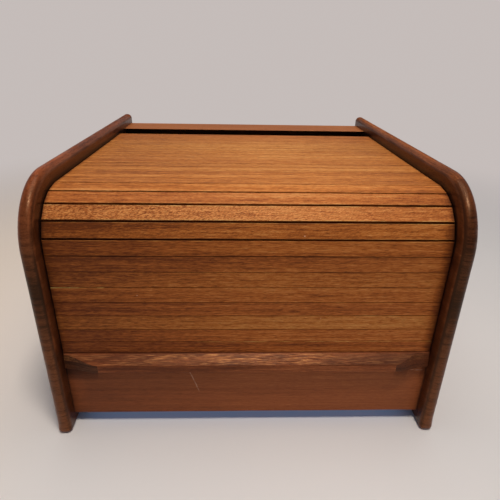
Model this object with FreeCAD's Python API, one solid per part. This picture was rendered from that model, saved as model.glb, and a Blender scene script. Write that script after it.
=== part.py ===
import FreeCAD, Part
import math
import os

# Tambour lid box: a wooden box whose front and top are closed by one flexible
# shutter of narrow slats glued to canvas.  The shutter's ends run in grooves in
# the two side panels; a lift rail at its lower edge is raised by hand and the
# slats follow round the front bend, along the top and down behind the inner back.
#
# Millimetres.  X is across the box, +Y is to the back, +Z is up.  The origin is
# the centre of the footprint on the surface that the box stands on.

V = FreeCAD.Vector
os.makedirs("parts", exist_ok=True)

# ---- driving dimensions -------------------------------------------------------
WIDTH = 350.0            # outside, across the side panels
DEPTH = 360.0            # front edge to back edge of a side panel
HEIGHT = 236.5           # top edge of a side panel
PANEL_T = 12.0           # side panel thickness
PANEL_NOSE = 5.7         # edge rounding, nearly a full bullnose
PANEL_FRONT_R = 56.0     # large corner in front at the top
PANEL_REAR_EASE = 1.4    # rear edge, cut square and eased
PANEL_FOOT_R = 4.0       # rounding all round the foot

SLAT_T = 4.5             # slat thickness
SLAT_SET_BACK = 14.0     # outer face of the shutter behind the panels' front edge
SLAT_TOP_Z = 222.5       # outer face of the shutter on top
BEND_R = 44.0            # outer face of the shutter round both bends
SLAT_EASE = 0.45         # rounding of the slats' outer long edges
SLAT_GAP = 0.30          # between neighbouring slats on the flat
SLAT_LENGTH = 336.0      # groove bottom to groove bottom, less clearance
SLAT_SHOULDER = 162.4    # full thickness to here, a dark gap short of the panels
TONGUE_T = 2.5           # thinner ends that run in the grooves, on the inner side
CANVAS_T = 0.7
CANVAS_HALF = 158.0      # the canvas stops short of the grooves
CANVAS_CUT = 0.22        # each canvas strip ends this far short of its joint

GROOVE_DEPTH = 5.5
GROOVE_OUT = 0.35        # play outside the tongues
GROOVE_IN = 0.90         # play inside them, for flat slats in a round bend
GROOVE_FRONT_END = 66.5  # blind lower end in front, level with the base rail
GROOVE_REAR_END = 143.7  # blind lower end behind; the tail slat stops on it

REAR_BEND_Y = 282.0      # where the rear bend starts, behind the front edge
LID_TRAVEL = 96.0        # how far the lift rail rises

LIFT_BOTTOM = 67.0
LIFT_HINGE = 81.9        # joint between the lift rail and the first slat
LIP_OUT = 9.3            # how far the lift rail's lip stands out
LIP_FACE_H = 7.5         # height of the lip's upright front
LIP_TOP = 80.7           # where the lip's sloping top meets the rail's face
LIP_END_OUTER = 162.4    # ends of the lip, level with the shoulders
LIP_END_REACH = 2.5      # how far it still stands out there
LIP_END_INNER = 136.0    # its ends are bevelled in plan from here outwards

# slat widths, joint to joint, counted up from the lift rail
SLAT_W = [11.6, 12.6, 13.9, 13.2, 14.2, 14.1, 14.0, 12.9, 13.0, 13.1, 12.4] + [13.98] * 17

BASE_T = 12.0
BASE_BOTTOM = 12.2
BASE_TOP = 66.5
TOP_RAIL_FRONT = 311.0
TOP_RAIL_BACK = 356.0
TOP_RAIL_TOP = 224.5
TOP_RAIL_BOTTOM = 203.5
TOP_RAIL_COVE_R = 55.5   # hollow beneath, round the shutter's rear bend
TOP_RAIL_NOSE = 1.2      # thickness of its front edge, undercut behind
TOP_RAIL_UNDERCUT = 8.0  # slope of the undercut, degrees

BOTTOM_T = 6.0
BOTTOM_Z = 14.5
BACK_T = 6.0
BACK_FACE = 356.0        # back panel's outer face, flush with the top rail
BACK_TOP = 211.5         # it stands in a rabbet of the top rail
INNER_BACK_Y = 306.0
INNER_BACK_T = 4.0
INNER_BACK_TOP = 197.5
CLEAT = 12.0
HOUSING = 4.0            # depth of the housings for bottom, back and inner back
HOUSING_PLAY = 0.1

DOWEL_R = 3.0
DOWEL_PLAY = 0.05
DOWEL_IN_PANEL = 8.0
DOWEL_IN_RAIL = 16.0
SCREW_R = 1.5
SCREW_HEAD_R = 3.0
SCREW_LENGTH = 14.0

# ---- derived -----------------------------------------------------------------
HALF = WIDTH / 2
INNER = HALF - PANEL_T                  # inner face of a side panel
Y0 = -DEPTH / 2                         # front edge
HINGE_R = BEND_R - SLAT_T               # joint line, at the slats' inner face
FRONT_Y = Y0 + SLAT_SET_BACK + SLAT_T   # joint line on the front run
TOP_Z = SLAT_TOP_Z - SLAT_T             # joint line on the top run
BEND_Z = SLAT_TOP_Z - BEND_R
BEND_Y1 = Y0 + SLAT_SET_BACK + BEND_R
BEND_Y2 = Y0 + REAR_BEND_Y
REAR_Y = BEND_Y2 + HINGE_R
ARC = HINGE_R * math.pi / 2
S1 = BEND_Z                             # joint-line length where each stretch ends
S2 = S1 + ARC
S3 = S2 + BEND_Y2 - BEND_Y1
S4 = S3 + ARC


def save(name, shape):
    solids = shape.Solids
    if not solids or not shape.isValid():
        raise RuntimeError("bad shape for " + name)
    out = solids[0] if len(solids) == 1 else Part.makeCompound(solids)
    out.exportStep("parts/" + name + ".step")
    print("PART", name, len(solids), round(sum(s.Volume for s in solids), 1))


def box(x0, x1, y0, y1, z0, z1):
    return Part.makeBox(x1 - x0, y1 - y0, z1 - z0, V(x0, y0, z0))


def arc(cy, cz, r, a0, a1, x=0.0):
    """Arc in a plane across X, angles in degrees from +Y towards +Z."""
    pts = [
        V(x, cy + r * math.cos(math.radians(a)), cz + r * math.sin(math.radians(a)))
        for a in (a0, (a0 + a1) / 2, a1)
    ]
    return Part.Arc(*pts).toShape()


def line(a, b, x=0.0):
    return Part.LineSegment(V(x, a[0], a[1]), V(x, b[0], b[1])).toShape()


def prism(edges, x0, x1):
    """Closed outline in the YZ plane, extruded from x0 to x1."""
    face = Part.Face(Part.Wire(Part.__sortEdges__(edges)))
    face.translate(V(x0, 0, 0))
    return face.extrude(V(x1 - x0, 0, 0))


def poly(points, x0, x1):
    n = len(points)
    return prism([line(points[i], points[(i + 1) % n]) for i in range(n)], x0, x1)


def fillet(shape, radius, pick):
    edges = [e for e in shape.Edges if pick(e)]
    return shape.makeFillet(radius, edges)


def ends(e):
    return [v.Point for v in e.Vertexes]


def along_x(e):
    p = ends(e)
    return len(p) == 2 and abs(p[0].x - p[1].x) > 1 and abs(p[0].y - p[1].y) < 1e-6 and abs(p[0].z - p[1].z) < 1e-6


# ---- the joint line that the shutter follows ----------------------------------
def path(s):
    """Point of the joint line, by its length up from the floor in front."""
    if s <= S1:
        return FRONT_Y, s
    if s <= S2:
        a = math.pi - (s - S1) / HINGE_R
        return BEND_Y1 + HINGE_R * math.cos(a), BEND_Z + HINGE_R * math.sin(a)
    if s <= S3:
        return BEND_Y1 + s - S2, TOP_Z
    if s <= S4:
        a = math.pi / 2 - (s - S3) / HINGE_R
        return BEND_Y2 + HINGE_R * math.cos(a), BEND_Z + HINGE_R * math.sin(a)
    return REAR_Y, BEND_Z - (s - S4)


def step_on(s, width):
    """Where the next joint lies: width away in a straight line, on the joint line."""
    y, z = path(s)
    lo, hi = s + 0.5 * width, s + 1.5 * width
    for _ in range(60):
        mid = (lo + hi) / 2
        q = path(mid)
        if math.hypot(q[0] - y, q[1] - z) < width:
            lo = mid
        else:
            hi = mid
    return (lo + hi) / 2


def chain(start):
    out = [start]
    for w in SLAT_W:
        out.append(step_on(out[-1], w))
    return out


closed = chain(LIFT_HINGE)
opened = chain(LIFT_HINGE + LID_TRAVEL)

# ---- side panels -------------------------------------------------------------
def groove(x0, x1):
    """The band that the slat ends run in."""
    out = TONGUE_T + GROOVE_OUT
    ro, ri = HINGE_R + out, HINGE_R - GROOVE_IN
    fo, fi = FRONT_Y - out, FRONT_Y + GROOVE_IN
    to, ti = TOP_Z + out, TOP_Z - GROOVE_IN
    bo, bi = REAR_Y + out, REAR_Y - GROOVE_IN
    edges = [
        line((fo, GROOVE_FRONT_END), (fo, BEND_Z)),
        arc(BEND_Y1, BEND_Z, ro, 180, 90),
        line((BEND_Y1, to), (BEND_Y2, to)),
        arc(BEND_Y2, BEND_Z, ro, 90, 0),
        line((bo, BEND_Z), (bo, GROOVE_REAR_END)),
        line((bo, GROOVE_REAR_END), (bi, GROOVE_REAR_END)),
        line((bi, GROOVE_REAR_END), (bi, BEND_Z)),
        arc(BEND_Y2, BEND_Z, ri, 0, 90),
        line((BEND_Y2, ti), (BEND_Y1, ti)),
        arc(BEND_Y1, BEND_Z, ri, 90, 180),
        line((fi, BEND_Z), (fi, GROOVE_FRONT_END)),
        line((fi, GROOVE_FRONT_END), (fo, GROOVE_FRONT_END)),
    ]
    return prism(edges, x0, x1)


BASE_DOWELS = [(Y0 + SLAT_SET_BACK + BASE_T / 2, z) for z in (27.5, 54.5)]
# clear of the bottom panel's housing, which ends short of the dowels
TOP_DOWELS = [(Y0 + 335.5, 214.5), (Y0 + 346.5, 214.5)]


def dowel_holes(side):
    out = []
    for y, z in BASE_DOWELS + TOP_DOWELS:
        x = side * (INNER - DOWEL_IN_RAIL - 0.5)
        out.append(
            Part.makeCylinder(DOWEL_R, DOWEL_IN_RAIL + DOWEL_IN_PANEL + 1.0, V(x, y, z), V(side, 0, 0))
        )
    return out


def side_panel(side):
    r, y1 = PANEL_FRONT_R, Y0 + DEPTH
    edges = [
        line((Y0, 0), (Y0, HEIGHT - r)),
        arc(Y0 + r, HEIGHT - r, r, 180, 90),
        line((Y0 + r, HEIGHT), (y1, HEIGHT)),
        line((y1, HEIGHT), (y1, 0)),
        line((y1, 0), (Y0, 0)),
    ]
    x0, x1 = (INNER, HALF) if side > 0 else (-HALF, -INNER)
    body = prism(edges, x0, x1)
    # bullnose along the front and top; the rear edge is cut square and eased
    body = fillet(
        body,
        PANEL_NOSE,
        lambda e: not along_x(e) and max(p.z for p in ends(e)) > 1 and min(p.y for p in ends(e)) < y1 - 1,
    )
    body = fillet(
        body,
        PANEL_REAR_EASE,
        lambda e: min(p.y for p in ends(e)) > y1 - 1e-3 and max(p.z for p in ends(e)) > 1,
    )
    foot = [e for e in body.Edges if max(v.Point.z for v in e.Vertexes) < 1e-6]
    body = body.makeFillet(PANEL_FOOT_R, foot)
    g0, g1 = (INNER - 1, INNER + GROOVE_DEPTH) if side > 0 else (-INNER - GROOVE_DEPTH, -INNER + 1)
    body = body.cut(groove(g0, g1))
    h0, h1 = (INNER - 1, INNER + HOUSING) if side > 0 else (-INNER - HOUSING, -INNER + 1)
    p = HOUSING_PLAY
    cuts = [
        box(h0, h1, Y0 + SLAT_SET_BACK + BASE_T, Y0 + BACK_FACE, BOTTOM_Z - p, BOTTOM_Z + BOTTOM_T + p),
        box(h0, h1, Y0 + BACK_FACE - BACK_T - p, Y0 + BACK_FACE + p, BASE_BOTTOM - p, BACK_TOP + p),
        box(h0, h1, Y0 + INNER_BACK_Y - p, Y0 + INNER_BACK_Y + INNER_BACK_T + p, BOTTOM_Z + BOTTOM_T, INNER_BACK_TOP + p),
    ]
    return body.cut(cuts + dowel_holes(side))


left = side_panel(-1)
right = side_panel(1)
save("side_panel_left", left)
save("side_panel_right", right)

# ---- base rail: fixed board under the shutter, in line with the slats -----------
yb0 = Y0 + SLAT_SET_BACK
yb1 = yb0 + BASE_T
base = box(-INNER, INNER, yb0, yb1, BASE_BOTTOM, BASE_TOP)
base = fillet(base, 0.8, lambda e: along_x(e) and abs(ends(e)[0].y - yb0) < 1e-6)
base = base.cut(
    [box(-INNER - 1, INNER + 1, yb1 - HOUSING, yb1 + 1, BOTTOM_Z - HOUSING_PLAY, BOTTOM_Z + BOTTOM_T + HOUSING_PLAY)]
    + dowel_holes(-1) + dowel_holes(1)
)
save("base_rail", base)

# ---- rear top rail, hollowed beneath for the shutter to pass --------------------
c = TOP_RAIL_COVE_R
# the undercut runs back from the nose and meets the hollow at (ym, zm)
slope = math.tan(math.radians(TOP_RAIL_UNDERCUT))
u0, v0 = TOP_RAIL_FRONT - REAR_BEND_Y, TOP_RAIL_TOP - TOP_RAIL_NOSE - BEND_Z
k = v0 + slope * u0
u = (slope * k + math.sqrt(c * c * (1 + slope * slope) - k * k)) / (1 + slope * slope)
ym, zm = BEND_Y2 + u, BEND_Z + k - slope * u
dz = TOP_RAIL_BOTTOM - BEND_Z
yc = BEND_Y2 + math.sqrt(c * c - dz * dz)
a0 = math.degrees(math.atan2(zm - BEND_Z, u))
a1 = math.degrees(math.atan2(dz, yc - BEND_Y2))
yf, yr = Y0 + TOP_RAIL_FRONT, Y0 + TOP_RAIL_BACK
rail = prism(
    [
        line((ym, zm), (yf, TOP_RAIL_TOP - TOP_RAIL_NOSE)),
        line((yf, TOP_RAIL_TOP - TOP_RAIL_NOSE), (yf, TOP_RAIL_TOP)),
        line((yf, TOP_RAIL_TOP), (yr, TOP_RAIL_TOP)),
        line((yr, TOP_RAIL_TOP), (yr, TOP_RAIL_BOTTOM)),
        line((yr, TOP_RAIL_BOTTOM), (yc, TOP_RAIL_BOTTOM)),
        arc(BEND_Y2, BEND_Z, c, a1, a0),
    ],
    -INNER,
    INNER,
)
rail = fillet(rail, 0.8, lambda e: along_x(e) and abs(ends(e)[0].z - TOP_RAIL_TOP) < 1e-6)
rabbet = box(-INNER - 1, INNER + 1, yr - BACK_T, yr + 1, TOP_RAIL_BOTTOM - 1, BACK_TOP + HOUSING_PLAY)

# back screws: four into the top rail, four into the cleat, all through the back panel
SCREW_X = [-120.0, -40.0, 40.0, 120.0]
SCREW_Z = [207.5, 26.5]
yface = Y0 + BACK_FACE


def screw(x, z, play=0.0):
    """Countersunk slotted screw driven forwards from the back face."""
    r, h = SCREW_R + play, SCREW_HEAD_R + play
    head = Part.makeCone(h, r, SCREW_HEAD_R - SCREW_R, V(x, yface, z), V(0, -1, 0))
    shank = Part.makeCylinder(r, SCREW_LENGTH - 3.0 + play, V(x, yface, z), V(0, -1, 0))
    tip = Part.makeCone(r, 0.2 + play, 3.0, V(x, yface - SCREW_LENGTH + 3.0 - play, z), V(0, -1, 0))
    out = head.fuse([shank, tip]).removeSplitter()
    if play:
        return out
    return out.cut(box(x - SCREW_HEAD_R, x + SCREW_HEAD_R, yface - 0.8, yface + 1, z - 0.4, z + 0.4))


holes = [screw(x, z, 0.04) for x in SCREW_X for z in SCREW_Z]
rail = rail.cut([rabbet] + dowel_holes(-1) + dowel_holes(1) + holes)
save("rear_top_rail", rail)

# ---- bottom, back, inner back and the cleat --------------------------------------
hx = INNER + HOUSING - 0.3
bottom = box(-hx, hx, yb1 - 0.0, yface - BACK_T, BOTTOM_Z, BOTTOM_Z + BOTTOM_T)
bottom = bottom.fuse(box(-INNER, INNER, yb1 - HOUSING + 0.3, yb1, BOTTOM_Z, BOTTOM_Z + BOTTOM_T)).removeSplitter()
save("bottom_panel", bottom)

back = box(-hx, hx, yface - BACK_T, yface, BASE_BOTTOM, BACK_TOP).cut(holes)
save("back_panel", back)

yi = Y0 + INNER_BACK_Y
inner_back = box(-hx, hx, yi, yi + INNER_BACK_T, BOTTOM_Z + BOTTOM_T, INNER_BACK_TOP)
inner_back = fillet(inner_back, 1.2, lambda e: along_x(e) and abs(ends(e)[0].z - INNER_BACK_TOP) < 1e-6)
save("inner_back_panel", inner_back)

cz = BOTTOM_Z + BOTTOM_T
cleat = box(-INNER, INNER, yface - BACK_T - CLEAT, yface - BACK_T, cz, cz + CLEAT).cut(holes)
save("rear_cleat", cleat)

save("back_screws", Part.makeCompound([screw(x, z) for x in SCREW_X for z in SCREW_Z]))


def dowels(places):
    out = []
    for side in (-1, 1):
        for y, z in places:
            x = side * (INNER - DOWEL_IN_RAIL)
            d = Part.makeCylinder(
                DOWEL_R - DOWEL_PLAY, DOWEL_IN_RAIL + DOWEL_IN_PANEL, V(x, y, z), V(side, 0, 0)
            )
            out.append(d.makeChamfer(0.6, [e for e in d.Edges if e.isClosed()]))
    return Part.makeCompound(out)


save("base_rail_dowels", dowels(BASE_DOWELS))
save("rear_top_rail_dowels", dowels(TOP_DOWELS))

# ---- lift rail: bottom piece of the shutter, with the lip that fingers lift -------
yo = Y0 + SLAT_SET_BACK
z0, z1 = LIFT_BOTTOM, LIFT_HINGE - SLAT_GAP / 2
slab = box(-SLAT_SHOULDER, SLAT_SHOULDER, yo, yo + SLAT_T, z0, z1)
slab = slab.fuse(box(-SLAT_LENGTH / 2, SLAT_LENGTH / 2, yo + SLAT_T - TONGUE_T, yo + SLAT_T, z0, z1)).removeSplitter()
lip = poly(
    [(yo + 1, z0), (yo + 1, LIP_TOP + 0.66), (yo, LIP_TOP), (yo - LIP_OUT, z0 + LIP_FACE_H), (yo - LIP_OUT, z0)],
    -LIP_END_OUTER,
    LIP_END_OUTER,
)
lip = fillet(
    lip,
    1.0,
    lambda e: along_x(e) and abs(ends(e)[0].y - (yo - LIP_OUT)) < 1e-6 and ends(e)[0].z > z0 + 1,
)
for side in (-1, 1):
    # bevel in plan at each end of the lip
    fall = (LIP_OUT - LIP_END_REACH) / (LIP_END_OUTER - LIP_END_INNER)
    pts = [
        V(side * LIP_END_INNER, yo - LIP_OUT, 0),
        V(side * LIP_END_INNER, yo - LIP_OUT - 5, 0),
        V(side * (LIP_END_OUTER + 1), yo - LIP_OUT - 5, 0),
        V(side * (LIP_END_OUTER + 1), yo - LIP_END_REACH + fall, 0),
    ]
    wedge = Part.Face(Part.makePolygon(pts + [pts[0]])).extrude(V(0, 0, HEIGHT))
    lip = lip.cut(wedge)
lift = slab.fuse(lip).removeSplitter()
lift_canvas = box(-CANVAS_HALF, CANVAS_HALF, yo + SLAT_T, yo + SLAT_T + CANVAS_T, z0 + 1.5, LIFT_HINGE - CANVAS_CUT)
save("lift_rail", Part.makeCompound([lift, lift_canvas]))


# ---- slats, each with its strip of the canvas ------------------------------------
def slat(width):
    """Slat in its own frame: joint line along X at the origin, length up +Z, outer face towards -Y."""
    g, r, t, w = SLAT_GAP / 2, SLAT_EASE, SLAT_T, width
    k = r * (1 - math.sqrt(0.5))
    x0, x1 = -SLAT_LENGTH / 2, SLAT_LENGTH / 2

    def corner(cy, cz, a_from, a_to):
        return arc(cy, cz, r, a_from, a_to)

    edges = [
        line((0, g), (0, w - g)),
        line((0, w - g), (-t + r, w - g)),
        corner(-t + r, w - g - r, 90, 180),
        line((-t, w - g - r), (-t, g + r)),
        corner(-t + r, g + r, 180, 270),
        line((-t + r, g), (0, g)),
    ]
    wood = prism(edges, -SLAT_SHOULDER, SLAT_SHOULDER)
    for a, b in ((x0, -SLAT_SHOULDER), (SLAT_SHOULDER, x1)):
        wood = wood.fuse(box(a, b, -TONGUE_T, 0, g, w - g))
    wood = wood.removeSplitter()
    canvas = box(-CANVAS_HALF, CANVAS_HALF, 0, CANVAS_T, CANVAS_CUT, w - CANVAS_CUT)
    return Part.makeCompound([wood, canvas])


def pose(a, b):
    """Angle of a slat's length from +Z, positive leaning back."""
    return math.atan2(b[0] - a[0], b[1] - a[1])


for i, w in enumerate(SLAT_W):
    a, b = path(closed[i]), path(closed[i + 1])
    t0 = pose(a, b)
    s = slat(w)
    s.rotate(V(0, 0, 0), V(1, 0, 0), -math.degrees(t0))
    s.translate(V(0, a[0], a[1]))
    save("slat_%02d" % (i + 1), s)
    # how the slat goes from its closed place to its open place: a turn about one
    # line along X, or a straight slide
    c, d = path(opened[i]), path(opened[i + 1])
    t1 = pose(c, d)
    turn = t1 - t0
    if abs(turn) < 1e-6:
        print("MOVE", i + 1, "slide", c[0] - a[0], c[1] - a[1])
    else:
        # pole of the displacement: turning by -turn about +X takes a to c
        my, mz = (a[0] + c[0]) / 2, (a[1] + c[1]) / 2
        hy, hz = (c[0] - a[0]) / 2, (c[1] - a[1]) / 2
        k = 1.0 / math.tan(turn / 2)
        py, pz = my + k * hz, mz - k * hy
        print("MOVE", i + 1, "turn", py, pz, turn)
print("TRAVEL", LID_TRAVEL, "tail stops at z", path(opened[-1])[1])
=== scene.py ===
import math
import random

import bmesh
import bpy
from mathutils import Matrix, Vector, noise


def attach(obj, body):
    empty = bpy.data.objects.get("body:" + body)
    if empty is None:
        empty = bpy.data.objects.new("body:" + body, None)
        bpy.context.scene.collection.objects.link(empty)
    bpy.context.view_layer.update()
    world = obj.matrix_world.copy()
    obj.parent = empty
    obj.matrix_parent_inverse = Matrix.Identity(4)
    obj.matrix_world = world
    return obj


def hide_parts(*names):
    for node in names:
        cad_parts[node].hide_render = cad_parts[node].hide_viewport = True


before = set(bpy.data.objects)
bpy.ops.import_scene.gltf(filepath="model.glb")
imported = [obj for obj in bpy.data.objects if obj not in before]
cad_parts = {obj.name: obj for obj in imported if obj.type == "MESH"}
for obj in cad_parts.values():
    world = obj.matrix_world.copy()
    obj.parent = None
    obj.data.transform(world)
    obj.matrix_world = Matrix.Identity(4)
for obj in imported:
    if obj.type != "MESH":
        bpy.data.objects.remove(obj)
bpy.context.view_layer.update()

# Metres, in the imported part's own frame: X across, +Y to the back, +Z up.
MM = 0.001

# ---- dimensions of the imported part, in millimetres ------------------------------
WIDTH, DEPTH, HEIGHT = 350.0, 360.0, 236.5
PANEL_T, PANEL_NOSE = 12.0, 5.7
PANEL_FRONT_R, PANEL_REAR_EASE, PANEL_FOOT_R = 56.0, 1.4, 4.0
SLAT_T, SLAT_SET_BACK, SLAT_TOP_Z, BEND_R = 4.5, 14.0, 222.5, 44.0
SLAT_GAP, SLAT_LENGTH, SLAT_SHOULDER, TONGUE_T = 0.30, 336.0, 162.4, 2.5
CANVAS_T, CANVAS_HALF, CANVAS_CUT = 0.7, 158.0, 0.22
GROOVE_DEPTH, GROOVE_OUT, GROOVE_IN = 5.5, 0.35, 0.9
GROOVE_FRONT_END, GROOVE_REAR_END = 66.5, 143.7
REAR_BEND_Y = 282.0
LIFT_BOTTOM, LIFT_HINGE = 67.0, 81.9
LIP_OUT, LIP_FACE_H, LIP_TOP = 9.3, 7.5, 80.7
LIP_END_OUTER, LIP_END_REACH, LIP_END_INNER = 162.4, 2.5, 136.0
SLAT_W = [11.6, 12.6, 13.9, 13.2, 14.2, 14.1, 14.0, 12.9, 13.0, 13.1, 12.4] + [13.98] * 17
BASE_T, BASE_BOTTOM, BASE_TOP = 12.0, 12.2, 66.5
TOP_RAIL_FRONT, TOP_RAIL_BACK, TOP_RAIL_TOP, TOP_RAIL_BOTTOM, TOP_RAIL_COVE_R = 311.0, 356.0, 224.5, 203.5, 55.5
TOP_RAIL_NOSE, TOP_RAIL_UNDERCUT = 1.2, 8.0
BOTTOM_T, BOTTOM_Z, BACK_T, BACK_FACE, BACK_TOP = 6.0, 14.5, 6.0, 356.0, 211.5
INNER_BACK_Y, INNER_BACK_T, INNER_BACK_TOP = 306.0, 4.0, 197.5
CLEAT, HOUSING, HOUSING_PLAY = 12.0, 4.0, 0.1

HALF = WIDTH / 2
INNER = HALF - PANEL_T
Y0 = -DEPTH / 2
HINGE_R = BEND_R - SLAT_T
FRONT_Y = Y0 + SLAT_SET_BACK + SLAT_T
TOP_Z = SLAT_TOP_Z - SLAT_T
BEND_Z = SLAT_TOP_Z - BEND_R
BEND_Y1 = Y0 + SLAT_SET_BACK + BEND_R
BEND_Y2 = Y0 + REAR_BEND_Y
REAR_Y = BEND_Y2 + HINGE_R
ARC = HINGE_R * math.pi / 2
S1 = BEND_Z
S2 = S1 + ARC
S3 = S2 + BEND_Y2 - BEND_Y1
S4 = S3 + ARC


def path(s):
    """Point of the joint line that the shutter follows, by its length up from the floor."""
    if s <= S1:
        return FRONT_Y, s
    if s <= S2:
        a = math.pi - (s - S1) / HINGE_R
        return BEND_Y1 + HINGE_R * math.cos(a), BEND_Z + HINGE_R * math.sin(a)
    if s <= S3:
        return BEND_Y1 + s - S2, TOP_Z
    if s <= S4:
        a = math.pi / 2 - (s - S3) / HINGE_R
        return BEND_Y2 + HINGE_R * math.cos(a), BEND_Z + HINGE_R * math.sin(a)
    return REAR_Y, BEND_Z - (s - S4)


def step_on(s, width):
    y, z = path(s)
    lo, hi = s + 0.5 * width, s + 1.5 * width
    for _ in range(60):
        mid = (lo + hi) / 2
        q = path(mid)
        if math.hypot(q[0] - y, q[1] - z) < width:
            lo = mid
        else:
            hi = mid
    return (lo + hi) / 2


JOINTS = [LIFT_HINGE]
for _w in SLAT_W:
    JOINTS.append(step_on(JOINTS[-1], _w))


def hum(x, seed, row=0.0):
    """Smooth noise from -1 to 1 along a line, the same each run."""
    return noise.noise(Vector((x, seed * 7.31 + row * 3.17, seed * 1.93 - row)))


# ---- node trees --------------------------------------------------------------------
class Tree:
    """Short calls for building a node tree."""

    def __init__(self, tree):
        self.tree = tree
        tree.nodes.clear()

    def node(self, kind, **settings):
        n = self.tree.nodes.new(kind)
        for k, v in settings.items():
            setattr(n, k, v)
        return n

    def put(self, socket, value):
        if isinstance(value, bpy.types.NodeSocket):
            self.tree.links.new(value, socket)
        elif isinstance(value, (tuple, list)) and len(value) == 3 and socket.type == "RGBA":
            socket.default_value = (*value, 1.0)
        else:
            socket.default_value = value

    def math(self, op, a, b=0.0, c=0.0, clamp=False):
        n = self.node("ShaderNodeMath", operation=op, use_clamp=clamp)
        for s, v in zip(n.inputs, (a, b, c)):
            self.put(s, v)
        return n.outputs[0]

    def vmath(self, op, a, b):
        n = self.node("ShaderNodeVectorMath", operation=op)
        self.put(n.inputs[0], a)
        self.put(n.inputs[1], b)
        return n.outputs[0]

    def stretch(self, v, by):
        return self.vmath("MULTIPLY", v, by)

    def noise(self, v, detail=2.0, rough=0.5, shift=0.0, colour=False):
        if shift:
            v = self.vmath("ADD", v, (shift, shift * 1.7, shift * 0.6))
        n = self.node("ShaderNodeTexNoise", noise_dimensions="3D")
        self.put(n.inputs["Vector"], v)
        n.inputs["Scale"].default_value = 1.0
        n.inputs["Detail"].default_value = detail
        n.inputs["Roughness"].default_value = rough
        return n.outputs["Color"] if colour else n.outputs[0]

    def remap(self, v, a, b, c=0.0, d=1.0, smooth=False):
        n = self.node("ShaderNodeMapRange", clamp=True)
        if smooth:
            n.interpolation_type = "SMOOTHSTEP"
        for s, x in zip(n.inputs, (v, a, b, c, d)):
            self.put(s, x)
        return n.outputs[0]

    def mix(self, f, a, b, blend="MIX"):
        n = self.node("ShaderNodeMix", data_type="RGBA", blend_type=blend)
        self.put(n.inputs[0], f)
        self.put(n.inputs[6], a)
        self.put(n.inputs[7], b)
        return n.outputs[2]

    def ramp(self, f, stops):
        n = self.node("ShaderNodeValToRGB")
        els = n.color_ramp.elements
        while len(els) < len(stops):
            els.new(0.5)
        for e, (p, c) in zip(els, stops):
            e.position = p
            e.color = (*c, 1.0)
        self.put(n.inputs[0], f)
        return n.outputs[0]

    def attribute(self, name):
        return self.node("ShaderNodeAttribute", attribute_type="GEOMETRY", attribute_name=name).outputs["Vector"]

    def split(self, v):
        n = self.node("ShaderNodeSeparateXYZ")
        self.put(n.inputs[0], v)
        return n.outputs

    def grey(self, f):
        """A brightness as a colour."""
        n = self.node("ShaderNodeCombineXYZ")
        for s in n.inputs:
            self.put(s, f)
        return n.outputs[0]


def material(name):
    m = bpy.data.materials.new(name)
    m.use_nodes = True
    return m, Tree(m.node_tree)


def close_material(t, colour, rough, height, bump, distance, specular=0.5, metallic=0.0, sheen=(1.0, 1.0, 1.0)):
    p = t.node("ShaderNodeBsdfPrincipled")
    out = t.node("ShaderNodeOutputMaterial")
    t.put(p.inputs["Base Color"], colour)
    t.put(p.inputs["Roughness"], rough)
    p.inputs["Specular IOR Level"].default_value = specular
    p.inputs["Specular Tint"].default_value = (*sheen, 1.0)
    p.inputs["Metallic"].default_value = metallic
    if height is not None:
        b = t.node("ShaderNodeBump")
        b.inputs["Strength"].default_value = bump
        b.inputs["Distance"].default_value = distance
        t.put(b.inputs["Height"], height)
        t.put(p.inputs["Normal"], b.outputs[0])
    t.tree.links.new(p.outputs[0], out.inputs["Surface"])
    return p


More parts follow.
